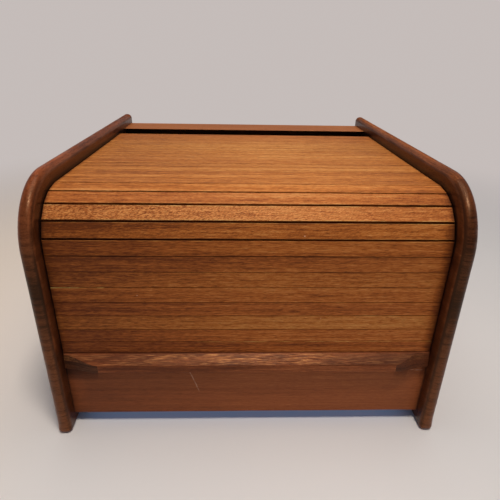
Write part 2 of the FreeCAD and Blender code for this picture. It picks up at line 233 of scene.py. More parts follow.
def teak(name, stops, end_stops, rings=0.9, streaks=0.55, fibres=0.5, broad=0.35, pore=0.5, fleck=0.35, rough=(0.40, 0.58),
         bump=0.35, specular=0.22, ring_scale=(2.4, 230.0, 55.0), end_scale=(3.0, 230.0, 26.0), fade_and_light=(1.0, 1.0, 1.0), mark=None,
         sheen=(1.0, 0.84, 0.68), worn_rough=0.0):
    """Oiled open-grained wood in solid texture.  "wood" is along the grain, across the rings and along the
    rings, in metres; "tint" is tone with painted shade in it, redness, and dirt with painted shade; "wear" is end
    grain, curl, and fading with painted light."""
    m, t = material(name)
    w = t.attribute("wood")
    tone, red, dirt_and_shade = t.split(t.attribute("tint"))
    end, curl, faded_and_lit = t.split(t.attribute("wear"))
    # the grain wavers slowly
    drift = t.vmath("SUBTRACT", t.noise(t.stretch(w, (7.0, 22.0, 22.0)), 2.0, colour=True), (0.5, 0.5, 0.5))
    wv = t.vmath("ADD", w, t.stretch(drift, (0.0, 0.0055, 0.0055)))
    ring = t.noise(t.stretch(wv, ring_scale), 3.0, 0.6)
    streak = t.noise(t.stretch(wv, (42.0, 820.0, 520.0)), 3.0, 0.65, shift=3.1)
    fibre = t.noise(t.stretch(wv, (180.0, 1650.0, 1200.0)), 2.0, 0.6, shift=7.7)
    wide = t.noise(t.stretch(w, (5.0, 18.0, 18.0)), 3.0, 0.5, shift=12.3)
    value = t.math("MULTIPLY_ADD", t.math("SUBTRACT", ring, 0.5), rings * 1.7, 0.5)
    value = t.math("MULTIPLY_ADD", t.math("SUBTRACT", streak, 0.5), streaks * 1.7, value)
    value = t.math("MULTIPLY_ADD", t.math("SUBTRACT", fibre, 0.5), fibres * 1.5, value)
    value = t.math("MULTIPLY_ADD", t.math("SUBTRACT", wide, 0.5), broad * 2.0, value)
    value = t.math("ADD", value, tone)
    # wavy figure: short dashes that lean to and fro, only where "curl" says so
    wx, wy, wz = t.split(w)
    lean = t.node("ShaderNodeCombineXYZ")
    t.put(lean.inputs[0], wx)
    t.put(lean.inputs[1], t.math("MULTIPLY_ADD", wx, -0.32, wy))
    t.put(lean.inputs[2], wz)
    curly = t.noise(t.stretch(lean.outputs[0], (560.0, 2500.0, 950.0)), 2.0, 0.55, shift=21.0)
    value = t.math("MULTIPLY_ADD", t.math("MULTIPLY", t.math("SUBTRACT", curly, 0.5), curl), 2.6, value)
    colour = t.ramp(value, stops)
    # open pores: short dark dashes along the grain
    pores = t.noise(t.stretch(wv, (170.0, 2300.0, 1500.0)), 1.0, 0.5, shift=31.0)
    pores = t.remap(pores, 0.58, 0.72, smooth=True)
    colour = t.mix(t.math("MULTIPLY", pores, pore), colour, t.mix(1.0, colour, (0.30, 0.22, 0.18), "MULTIPLY"))
    # pale flecks: painted glints on the grain, and wax and dust held in the pores
    flecks = t.noise(t.stretch(wv, (260.0, 1350.0, 900.0)), 1.0, 0.5, shift=41.0)
    flecks = t.math("MULTIPLY", t.remap(flecks, 0.64, 0.78, smooth=True), t.remap(wide, 0.38, 0.58))
    colour = t.mix(t.math("MULTIPLY", flecks, fleck), colour, t.mix(1.0, colour, (1.45, 1.75, 2.2), "MULTIPLY"))
    # end grain drinks the oil and goes dark, with the rings drawn across it as crisp bands
    slant = t.vmath("ADD", w, t.vmath("MULTIPLY", t.noise(t.stretch(w, (9.0, 14.0, 9.0)), 1.0, shift=47.0, colour=True), (0.0, 0.010, 0.0)))
    bands = t.noise(t.stretch(slant, end_scale), 4.0, 0.68, shift=49.0)
    late = t.remap(bands, 0.56, 0.66, smooth=True)
    end_value = t.math("MULTIPLY_ADD", t.math("SUBTRACT", bands, 0.5), 1.5, 0.55)
    end_value = t.math("MULTIPLY_ADD", late, -0.42, end_value)
    speckle = t.noise(t.stretch(w, (900.0, 1100.0, 900.0)), 1.0, 0.5, shift=51.0)
    end_value = t.math("MULTIPLY_ADD", t.math("SUBTRACT", speckle, 0.5), 0.45, end_value)
    end_value = t.math("MULTIPLY_ADD", tone, 0.5, end_value)
    colour = t.mix(t.remap(end, 0.35, 0.95, smooth=True), colour, t.ramp(end_value, end_stops))
    # paler where "wear" says so: sun-fading and rubbing, and painted light on the top run, on lit edges and as sheen
    colour = t.mix(faded_and_lit, colour, t.mix(1.0, colour, fade_and_light, "MULTIPLY"))
    colour = t.mix(1.0, colour, t.grey(t.math("MULTIPLY_ADD", tone, 0.55, 1.0)), "MULTIPLY")
    redder = t.node("ShaderNodeCombineXYZ")
    t.put(redder.inputs[0], t.math("MULTIPLY_ADD", red, 0.10, 1.0))
    t.put(redder.inputs[1], t.math("MULTIPLY_ADD", red, -0.22, 1.0))
    t.put(redder.inputs[2], t.math("MULTIPLY_ADD", red, -0.20, 1.0))
    colour = t.mix(1.0, colour, redder.outputs[0], "MULTIPLY")
    # patchy darkening: dirt along the joints, and painted shade in corners, grooves and recesses
    patch = t.noise(t.stretch(w, (26.0, 90.0, 90.0)), 3.0, 0.6, shift=61.0)
    patchy_dirt_and_shade = t.math("MULTIPLY", dirt_and_shade, t.remap(patch, 0.32, 0.62, 0.35, 1.0), clamp=True)
    colour = t.mix(t.math("MULTIPLY", patchy_dirt_and_shade, 0.85), colour, t.mix(1.0, colour, (0.16, 0.11, 0.09), "MULTIPLY"))
    if mark is not None:
        colour = mark(t, colour)
    value_r = t.math("MULTIPLY_ADD", fibre, 0.5, t.math("MULTIPLY", wide, 0.5))
    gloss = t.remap(value_r, 0.30, 0.70, rough[0], rough[1])
    gloss = t.math("MULTIPLY_ADD", pores, 0.18, gloss)
    gloss = t.math("MULTIPLY_ADD", patchy_dirt_and_shade, 0.15, gloss)
    gloss = t.math("ADD", gloss, t.remap(faded_and_lit, 0.38, 0.75, 0.0, worn_rough, smooth=True), clamp=True)
    height = t.math("SUBTRACT", t.math("MULTIPLY_ADD", streak, 0.6, fibre), t.math("MULTIPLY", pores, 0.9))
    height = t.math("MULTIPLY_ADD", t.math("MULTIPLY", curly, curl), 0.8, height)
    close_material(t, colour, gloss, height, bump, 0.0003, specular=specular, sheen=sheen)
    return m


def old_scratch(t, colour):
    """Old knocks on the front of the base rail, in the row frame."""
    pos = t.node("ShaderNodeTexCoord").outputs["Object"]
    x, _, z = t.split(pos)
    x0, z0, x1, z1 = -0.0534, 0.0615, -0.0450, 0.0370
    run = t.math("DIVIDE", t.math("SUBTRACT", z, z0), z1 - z0)
    wob = t.noise(t.stretch(pos, (60.0, 60.0, 160.0)), 2.0)
    along = t.math("MULTIPLY_ADD", run, x1 - x0, x0)
    along = t.math("MULTIPLY_ADD", t.math("SUBTRACT", wob, 0.5), 0.0022, along)
    off = t.math("ABSOLUTE", t.math("SUBTRACT", x, along))
    line = t.remap(off, 0.00015, 0.00075, 1.0, 0.0, smooth=True)
    inside = t.math("MULTIPLY", t.remap(run, -0.02, 0.06), t.remap(run, 0.85, 1.03, 1.0, 0.0))
    broken = t.remap(t.noise(t.stretch(pos, (200.0, 200.0, 420.0)), 2.0), 0.36, 0.56, 0.15, 1.0)
    k = t.math("MULTIPLY", t.math("MULTIPLY", line, inside), broken)
    colour = t.mix(t.math("MULTIPLY", k, 0.55), colour, (0.62, 0.38, 0.24))
    # and a rubbed patch under the right end of the lip
    rough_z = t.math("MULTIPLY_ADD", t.math("SUBTRACT", wob, 0.5), 0.003, 0.0612)
    high = t.remap(t.math("ABSOLUTE", t.math("SUBTRACT", z, rough_z)), 0.0002, 0.0009, 1.0, 0.0, smooth=True)
    wide = t.remap(t.math("ABSOLUTE", t.math("SUBTRACT", x, 0.1540)), 0.0035, 0.0065, 1.0, 0.0, smooth=True)
    k = t.math("MULTIPLY", t.math("MULTIPLY", high, wide), broken)
    return t.mix(t.math("MULTIPLY", k, 0.6), colour, (0.45, 0.25, 0.16))


def chips(t, colour):
    """Two small pale chips in the front slats, in the row frame."""
    x, _, z = t.split(t.node("ShaderNodeTexCoord").outputs["Object"])
    for cx, cz, r in ((0.0424, 0.1925, 0.0008), (-0.0930, 0.1400, 0.0006), (0.0610, 0.1170, 0.0005)):
        dx = t.math("ABSOLUTE", t.math("SUBTRACT", x, cx))
        dz = t.math("ABSOLUTE", t.math("SUBTRACT", z, cz))
        d = t.math("MULTIPLY_ADD", dz, 1.3, dx)
        colour = t.mix(t.math("MULTIPLY", t.remap(d, r * 0.5, r * 1.3, 1.0, 0.0, smooth=True), 0.8), colour, (0.62, 0.42, 0.26))
    return colour


def rubbed_lip_glints(t, colour):
    """Painted highlights: bright dashes on the lip's sloping top, as torn, rubbed grain catching the light, brightest
    in the middle; and dark dashes.
    """
    pos = t.node("ShaderNodeTexCoord").outputs["Object"]
    x, y, z = t.split(pos)
    top = t.math("MULTIPLY", t.remap(z, 0.0745, 0.0752, smooth=True), t.remap(y, -0.1668, -0.1662, 1.0, 0.0))
    clump = t.noise(t.stretch(pos, (38.0, 120.0, 190.0)), 2.0, 0.6, shift=5.5)
    light = t.noise(t.stretch(pos, (75.0, 1300.0, 2200.0)), 3.0, 0.62, shift=71.0)
    light = t.remap(t.math("MULTIPLY_ADD", clump, 0.28, light), 0.60, 0.84, smooth=True)
    middle = t.math("MULTIPLY", t.remap(x, -0.150, -0.020, 0.30, 1.0, smooth=True), t.remap(x, 0.045, 0.100, 1.0, 0.22, smooth=True))
    k = t.math("MULTIPLY", t.math("MULTIPLY", light, middle), top)
    colour = t.mix(t.math("MULTIPLY", k, 0.88), colour, (0.86, 0.36, 0.115))
    dark = t.noise(t.stretch(pos, (55.0, 900.0, 1700.0)), 3.0, 0.6, shift=83.0)
    dark = t.remap(t.math("MULTIPLY_ADD", clump, -0.40, dark), 0.30, 0.46, smooth=True)
    return t.mix(t.math("MULTIPLY", t.math("MULTIPLY", dark, top), 0.62), colour, (0.085, 0.022, 0.008))


def painted_groove_shadow(t, colour):
    """Painted shadow: a near-black band on a side panel's inner face, just outside the run of the slats, where the
    groove lies in shade.
    """
    x, y, z = t.split(t.node("ShaderNodeTexCoord").outputs["Object"])
    cy = t.math("MINIMUM", t.math("MAXIMUM", y, BEND_Y1 * MM), BEND_Y2 * MM)
    cz = t.math("MINIMUM", z, BEND_Z * MM)
    away = t.node("ShaderNodeCombineXYZ")
    t.put(away.inputs[0], t.math("SUBTRACT", y, cy))
    t.put(away.inputs[1], t.math("SUBTRACT", z, cz))
    span = t.node("ShaderNodeVectorMath", operation="LENGTH")
    t.put(span.inputs[0], away.outputs[0])
    out = t.math("SUBTRACT", span.outputs["Value"], HINGE_R * MM)
    wob = t.noise(t.stretch(t.node("ShaderNodeTexCoord").outputs["Object"], (90.0, 90.0, 90.0)), 2.0)
    reach = t.math("MULTIPLY_ADD", t.math("SUBTRACT", wob, 0.5), 0.0012, t.remap(z, 0.172, 0.212, 0.0047, 0.0076))
    band = t.remap(t.math("SUBTRACT", out, reach), -0.0004, 0.0009, 1.0, 0.0, smooth=True)
    inner = t.remap(t.math("ABSOLUTE", x), (INNER + 0.2) * MM, (INNER + 0.5) * MM, 1.0, 0.0)
    run = t.math("MULTIPLY", t.remap(z, 0.064, 0.068), t.remap(t.math("SUBTRACT", out, 0.0), 0.0015, 0.0022))
    k = t.math("MULTIPLY", t.math("MULTIPLY", band, inner), run)
    # and painted shadow in the slot before the rear rail
    slot = t.math("MULTIPLY", t.remap(y, (Y0 + 276.0) * MM, (Y0 + 284.0) * MM), t.remap(y, (Y0 + TOP_RAIL_FRONT + 0.5) * MM, (Y0 + TOP_RAIL_FRONT + 2.0) * MM, 1.0, 0.0))
    slot = t.math("MULTIPLY", t.math("MULTIPLY", slot, inner), t.remap(z, 0.2236, 0.2246, 1.0, 0.0))
    k = t.math("MAXIMUM", k, slot)
    return t.mix(t.math("MULTIPLY", k, 0.93), colour, (0.010, 0.0045, 0.0028))


SLAT_STOPS = [
    (0.00, (0.150, 0.034, 0.0055)),
    (0.30, (0.290, 0.076, 0.0120)),
    (0.52, (0.395, 0.113, 0.0190)),
    (0.75, (0.475, 0.160, 0.0330)),
    (1.00, (0.540, 0.225, 0.0600)),
]
RAIL_STOPS = [
    (0.00, (0.150, 0.037, 0.0105)),
    (0.35, (0.270, 0.074, 0.0205)),
    (0.60, (0.360, 0.107, 0.0310)),
    (0.82, (0.465, 0.158, 0.0500)),
    (1.00, (0.570, 0.225, 0.0750)),
]
PANEL_STOPS = [
    (0.00, (0.085, 0.024, 0.0080)),
    (0.35, (0.160, 0.047, 0.0150)),
    (0.60, (0.235, 0.073, 0.0250)),
    (0.82, (0.320, 0.110, 0.0420)),
    (1.00, (0.420, 0.165, 0.0720)),
]
END_STOPS = [
    (0.00, (0.014, 0.0040, 0.0016)),
    (0.32, (0.040, 0.0115, 0.0042)),
    (0.50, (0.088, 0.0260, 0.0090)),
    (0.75, (0.145, 0.0450, 0.0160)),
    (1.00, (0.210, 0.0720, 0.0280)),
]

MAT_SLAT = teak("slat_teak", SLAT_STOPS, END_STOPS, rings=0.70, streaks=0.78, fibres=0.88, broad=0.15, pore=0.66,
                fleck=0.70, rough=(0.42, 0.60), bump=0.30, specular=0.20, fade_and_light=(1.38, 1.60, 2.00), mark=chips)
MAT_RAIL = teak("rail_teak", RAIL_STOPS, END_STOPS, rings=0.33, streaks=0.30, fibres=0.38, broad=0.20, pore=0.30,
                fleck=0.15, rough=(0.42, 0.58), bump=0.22, specular=0.22, fade_and_light=(1.25, 1.35, 1.55), mark=old_scratch)
MAT_LIFT = teak("lift_teak", RAIL_STOPS, END_STOPS, rings=0.9, streaks=0.65, fibres=0.55, broad=0.5, pore=0.45,
                fleck=0.30, rough=(0.38, 0.55), bump=0.30, specular=0.20, ring_scale=(9.0, 300.0, 120.0), fade_and_light=(1.15, 1.20, 1.15),
                mark=rubbed_lip_glints)
MAT_PANEL = teak("panel_teak", PANEL_STOPS, END_STOPS, rings=0.75, streaks=0.45, fibres=0.45, broad=0.45, pore=0.45,
                 fleck=0.20, rough=(0.23, 0.36), bump=0.18, specular=0.32, ring_scale=(4.0, 95.0, 260.0), fade_and_light=(1.22, 1.10, 0.85),
                 mark=painted_groove_shadow, sheen=(1.0, 0.60, 0.34), worn_rough=0.34)


def veneer(name):
    """Rotary-cut plywood face: wide soft figure and fine short pores."""
    m, t = material(name)
    w = t.attribute("wood")
    tone, red, dirt_and_shade = t.split(t.attribute("tint"))
    bend = t.vmath("SUBTRACT", t.noise(t.stretch(w, (3.0, 9.0, 9.0)), 3.0, colour=True), (0.5, 0.5, 0.5))
    wv = t.vmath("ADD", w, t.stretch(bend, (0.02, 0.05, 0.05)))
    ring = t.noise(t.stretch(wv, (2.2, 75.0, 75.0)), 3.0, 0.6)
    fibre = t.noise(t.stretch(w, (22.0, 1300.0, 1300.0)), 2.0, 0.6, shift=5.0)
    wide = t.noise(t.stretch(w, (5.0, 7.0, 7.0)), 2.0, shift=9.0)
    v = t.math("MULTIPLY_ADD", t.math("SUBTRACT", ring, 0.5), 1.9, 0.5)
    v = t.math("MULTIPLY_ADD", t.math("SUBTRACT", fibre, 0.5), 0.8, v)
    v = t.math("ADD", v, tone)
    colour = t.ramp(v, [(0.0, (0.30, 0.165, 0.078)), (0.4, (0.44, 0.275, 0.145)), (0.65, (0.53, 0.355, 0.20)), (1.0, (0.63, 0.455, 0.28))])
    pores = t.remap(t.noise(t.stretch(w, (150.0, 2400.0, 2400.0)), 1.0, shift=15.0), 0.60, 0.72, smooth=True)
    colour = t.mix(t.math("MULTIPLY", pores, 0.45), colour, t.mix(1.0, colour, (0.45, 0.36, 0.30), "MULTIPLY"))
    stain = t.remap(wide, 0.40, 0.66, 1.0, 0.80)
    colour = t.mix(1.0, colour, t.grey(stain), "MULTIPLY")
    patchy_dirt_and_shade = t.math("MULTIPLY", dirt_and_shade, t.remap(t.noise(t.stretch(w, (30.0, 40.0, 40.0)), 3.0, shift=25.0), 0.3, 0.65, 0.3, 1.0), clamp=True)
    colour = t.mix(t.math("MULTIPLY", patchy_dirt_and_shade, 0.8), colour, t.mix(1.0, colour, (0.30, 0.22, 0.16), "MULTIPLY"))
    gloss = t.remap(fibre, 0.3, 0.7, 0.55, 0.72)
    height = t.math("SUBTRACT", fibre, t.math("MULTIPLY", pores, 0.8))
    close_material(t, colour, gloss, height, 0.25, 0.0003, specular=0.4)
    return m


MAT_VENEER = veneer("plain_veneer")


def canvas_material():
    """Plain-woven cotton backing, glue-stained where the wood shows through."""
    m, t = material("backing_canvas")
    w = t.attribute("wood")
    a, b, _ = t.split(w)
    wob = t.noise(t.stretch(w, (220.0, 220.0, 220.0)), 2.0)
    k = 2 * math.pi / 0.00105
    warp = t.math("SINE", t.math("MULTIPLY_ADD", wob, 1.4, t.math("MULTIPLY", a, k)))
    weft = t.math("SINE", t.math("MULTIPLY_ADD", wob, -1.4, t.math("MULTIPLY", b, k)))
    over = t.math("MULTIPLY", warp, weft)
    thread = t.remap(over, -1.0, 1.0)
    slub = t.noise(t.stretch(w, (40.0, 900.0, 900.0)), 3.0, shift=4.0)
    v = t.math("ADD", t.math("MULTIPLY", thread, 0.55), t.math("MULTIPLY", slub, 0.6))
    colour = t.ramp(v, [(0.0, (0.16, 0.105, 0.055)), (0.5, (0.36, 0.27, 0.165)), (1.0, (0.53, 0.43, 0.29))])
    glue = t.remap(t.noise(t.stretch(w, (14.0, 60.0, 60.0)), 3.0, shift=8.0), 0.45, 0.68, smooth=True)
    colour = t.mix(t.math("MULTIPLY", glue, 0.55), colour, (0.23, 0.12, 0.045))
    close_material(t, colour, t.remap(glue, 0.0, 1.0, 0.92, 0.70), over, 0.6, 0.00025, specular=0.25)
    return m


MAT_CANVAS = canvas_material()


def brass_material():
    m, t = material("aged_brass")
    pos = t.node("ShaderNodeTexCoord").outputs["Object"]
    cloud = t.noise(t.stretch(pos, (420.0, 420.0, 420.0)), 3.0, 0.6)
    scuff = t.noise(t.stretch(pos, (1600.0, 1600.0, 9000.0)), 2.0, 0.6, shift=3.0)
    tarnish = t.remap(cloud, 0.40, 0.66, smooth=True)
    colour = t.mix(tarnish, (0.66, 0.45, 0.19), (0.24, 0.15, 0.07))
    colour = t.mix(t.remap(scuff, 0.60, 0.72), colour, (0.86, 0.66, 0.36))
    rough = t.math("MULTIPLY_ADD", scuff, 0.2, t.remap(tarnish, 0.0, 1.0, 0.26, 0.50))
    close_material(t, colour, rough, scuff, 0.2, 0.0001, metallic=1.0)
    return m


def beech_material():
    m, t = material("dowel_beech")
    pos = t.node("ShaderNodeTexCoord").outputs["Object"]
    g = t.noise(t.stretch(pos, (40.0, 900.0, 900.0)), 3.0, 0.6)
    ray = t.remap(t.noise(t.stretch(pos, (320.0, 2200.0, 2200.0)), 1.0, shift=4.0), 0.62, 0.74)
    colour = t.ramp(g, [(0.3, (0.50, 0.33, 0.18)), (0.7, (0.68, 0.50, 0.31))])
    colour = t.mix(t.math("MULTIPLY", ray, 0.5), colour, (0.36, 0.20, 0.10))
    close_material(t, colour, 0.65, g, 0.2, 0.0003)
    return m


MAT_BRASS = brass_material()
MAT_BEECH = beech_material()


# ---- meshes ------------------------------------------------------------------------
def seed_offset(seed):
    r = random.Random(seed * 7919 + 13)
    return Vector((r.uniform(-3, 3), r.uniform(-3, 3), r.uniform(-3, 3)))


def add_vectors(mesh, name, rows):
    a = mesh.attributes.get(name) or mesh.attributes.new(name, "FLOAT_VECTOR", "POINT")
    flat = [c for r in rows for c in r]
    a.data.foreach_set("vector", flat)


def make_object(name, verts, faces, mats, face_mats=None):
    mesh = bpy.data.meshes.new(name)
    mesh.from_pydata([tuple(v) for v in verts], [], faces)
    for m in mats:
        mesh.materials.append(m)
    if face_mats:
        mesh.polygons.foreach_set("material_index", face_mats)
    mesh.validate()
    o = bpy.data.objects.new(name, mesh)
    bpy.context.scene.collection.objects.link(o)
    return o


def settle(o, angle=32.0):
    """Smooth shading with sharp edges and face-weighted normals, baked into the mesh."""
    o.data.polygons.foreach_set("use_smooth", [True] * len(o.data.polygons))
    o.data.set_sharp_from_angle(angle=math.radians(angle))
    m = o.modifiers.new("normals", "WEIGHTED_NORMAL")
    m.keep_sharp = True
    m.weight = 80
    bake_modifiers(o)


def bake_modifiers(o):
    bpy.context.view_layer.update()
    dg = bpy.context.evaluated_depsgraph_get()
    mesh = bpy.data.meshes.new_from_object(o.evaluated_get(dg), preserve_all_data_layers=True, depsgraph=dg)
    o.modifiers.clear()
    old = o.data
    o.data = mesh
    mesh.name = o.name
    bpy.data.meshes.remove(old)


def place(o, body, nodes):
    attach(o, body)
    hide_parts(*nodes)


def sweep(sections, xs):
    """Closed tube through equal-length section loops [(y, z), ...] at each x, with end caps.  Vertices in mm."""
    n = len(sections[0])
    verts = [Vector((x, y, z)) for x, loop in zip(xs, sections) for y, z in loop]
    faces = []
    for i in range(len(xs) - 1):
        for j in range(n):
            k = (j + 1) % n
            faces.append((i * n + j, (i + 1) * n + j, (i + 1) * n + k, i * n + k))
    faces.append(tuple(range(n)))
    faces.append(tuple(reversed(range((len(xs) - 1) * n, len(xs) * n))))
    return verts, faces


def outward(verts, faces):
    """Turns every face outwards, and returns the faces."""
    bm = bmesh.new()
    vs = [bm.verts.new(v) for v in verts]
    made = [bm.faces.new([vs[i] for i in f]) for f in faces]
    bmesh.ops.recalc_face_normals(bm, faces=made)
    bm.verts.index_update()
    out = [tuple(v.index for v in f.verts) for f in made]
    bm.free()
    return out


def joined(verts, faces):
    """Merges vertices in one place and drops the faces that vanish with them."""
    bm = bmesh.new()
    vs = [bm.verts.new(v) for v in verts]
    for f in faces:
        bm.faces.new([vs[i] for i in f])
    bmesh.ops.remove_doubles(bm, verts=bm.verts, dist=1e-4)
    bmesh.ops.dissolve_degenerate(bm, edges=bm.edges, dist=1e-5)
    bm.verts.index_update()
    out = [v.co.copy() for v in bm.verts], [tuple(v.index for v in f.verts) for f in bm.faces]
    bm.free()
    return out


def spread(a, b, step):
    n = max(1, round(abs(b - a) / step))
    return [a + (b - a) * i / n for i in range(n + 1)]


def rounded(corners, radii, segments=4):
    """Section loop with each corner rounded.  Concave and convex corners both work."""
    out = []
    n = len(corners)
    for i in range(n):
        p, q, r = Vector(corners[i - 1]), Vector(corners[i]), Vector(corners[(i + 1) % n])
        rad = radii[i]
        if rad <= 0:
            out.append((q.x, q.y))
            continue
        a, b = (p - q).normalized(), (r - q).normalized()
        half = math.acos(max(-1, min(1, a.dot(b)))) / 2
        cut = min(rad / math.tan(half), (p - q).length * 0.45, (r - q).length * 0.45)
        rad = cut * math.tan(half)
        centre = q + (a + b).normalized() * (rad / math.sin(half))
        s, e = q + a * cut - centre, q + b * cut - centre
        a0, a1 = math.atan2(s.y, s.x), math.atan2(e.y, e.x)
        d = (a1 - a0 + math.pi) % (2 * math.pi) - math.pi
        for k in range(segments + 1):
            an = a0 + d * k / segments
            out.append((centre.x + rad * math.cos(an), centre.y + rad * math.sin(an)))
    return out


# ---- shutter slats ---------------------------------------------------------------------
# tone, redness, curl, counted up from the lift rail
LOOK = {
    1: (-0.10, 0.2, 0.0), 2: (0.02, 0.1, 0.0), 3: (0.07, -0.2, 0.1), 4: (-0.06, 0.1, 0.0), 5: (0.03, 0.0, 0.1),
    6: (0.02, -0.1, 0.2), 7: (-0.03, 0.0, 0.1), 8: (0.0, 0.0, 0.1), 9: (-0.07, -0.1, 0.45), 10: (0.19, 0.1, 1.8),
    11: (0.14, 0.1, 0.45), 12: (0.02, 0.0, 0.1), 13: (0.03, -0.1, 0.1), 14: (0.045, -0.1, 0.0), 15: (0.03, -0.1, 0.1),
    16: (0.05, -0.2, 0.0), 17: (0.03, -0.2, 0.0), 18: (0.0, -0.1, 0.0), 19: (0.055, -0.2, 0.0), 20: (0.05, -0.2, 0.0),
    21: (0.03, -0.2, 0.0), 22: (0.05, -0.3, 0.0), 23: (0.05, -0.3, 0.0), 24: (0.06, -0.3, 0.0), 25: (0.04, -0.2, 0.0),
    26: (0.0, -0.1, 0.0), 27: (-0.02, 0.0, 0.0), 28: (-0.02, 0.1, 0.0),
}


# how open, eased and dirty each joint is, counted up from the one above the lift rail
def joint_look(j):
    if j == 1:
        return 0.12, 0.30, 0.80
    if j <= 8:
        return 0.09, 0.22, (1.0, 0.70, 0.80, 0.65, 0.95, 0.70, 0.90)[j - 2]
    if j == 9:
        return 0.10, 0.32, 0.70
    if j <= 11:
        return 0.15, 0.38, 0.95
    if j == 18:
        return 0.22, 0.60, 1.0
    if j in (16, 17, 20, 21, 23):
        return 0.12, 0.36, 1.0
    return 0.08, 0.24, {12: 0.75, 13: 0.45, 14: 0.55, 15: 0.50, 16: 0.75, 17: 0.85, 19: 0.50, 20: 0.90, 21: 0.90, 22: 0.60, 23: 0.90, 24: 0.60}.get(j, 0.75)


# pale edges, from rubbing and as painted highlights where they catch the light: slat, upper or lower edge, from x to
# x, how much
RUBBED_AND_LIT_EDGES = [
    (5, "high", -164.0, -118.0, 1.7), (8, "high", -164.0, -30.0, 0.55), (8, "high", -30.0, 164.0, 0.30), (9, "high", -164.0, 164.0, 0.45),
    (9, "low", 40.0, 164.0, 0.35), (10, "low", -164.0, 164.0, 0.60), (10, "high", -164.0, 164.0, 0.55), (11, "low", -164.0, 164.0, 0.40),
    (4, "high", 60.0, 130.0, 0.35), (1, "high", -45.0, 164.0, 1.0), (6, "high", -60.0, 20.0, 0.35), (7, "high", 90.0, 150.0, 0.35),
]


def slat_loop(w, r1, r2, g1, g2, lift):
    """Slat section: v along its width, d inwards from the joint line.  r1, r2 ease the outer edges."""
    t = SLAT_T
    pts = [(0.0, g1), (-t + r1, g1)]
    for k in range(1, 4):
        a = math.pi / 2 * k / 4
        pts.append((-t + r1 - r1 * math.sin(a), g1 + r1 - r1 * math.cos(a)))
    pts.append((-t, g1 + r1))
    pts.append((-t + lift[0] * 0.5, g1 + r1 + 0.42))
    pts.append((-t + lift[1], w * 0.25))
    pts.append((-t + lift[2], w * 0.5))
    pts.append((-t + lift[3], w * 0.75))
    pts.append((-t + lift[4] * 0.5, w - g2 - r2 - 0.42))
    pts.append((-t, w - g2 - r2))
    for k in range(1, 4):
        a = math.pi / 2 * k / 4
        pts.append((-t + r2 - r2 * math.cos(a), w - g2 - r2 + r2 * math.sin(a)))
    pts.append((-t + r2, w - g2))
    pts.append((0.0, w - g2))
    return pts


GRIME_AT = [1.0, 1.0, 1.0, 0.9, 0.7, 0.35, 0.0, 0.0, 0.0, 0.0, 0.0, 0.35, 0.7, 0.9, 1.0, 1.0, 1.0]


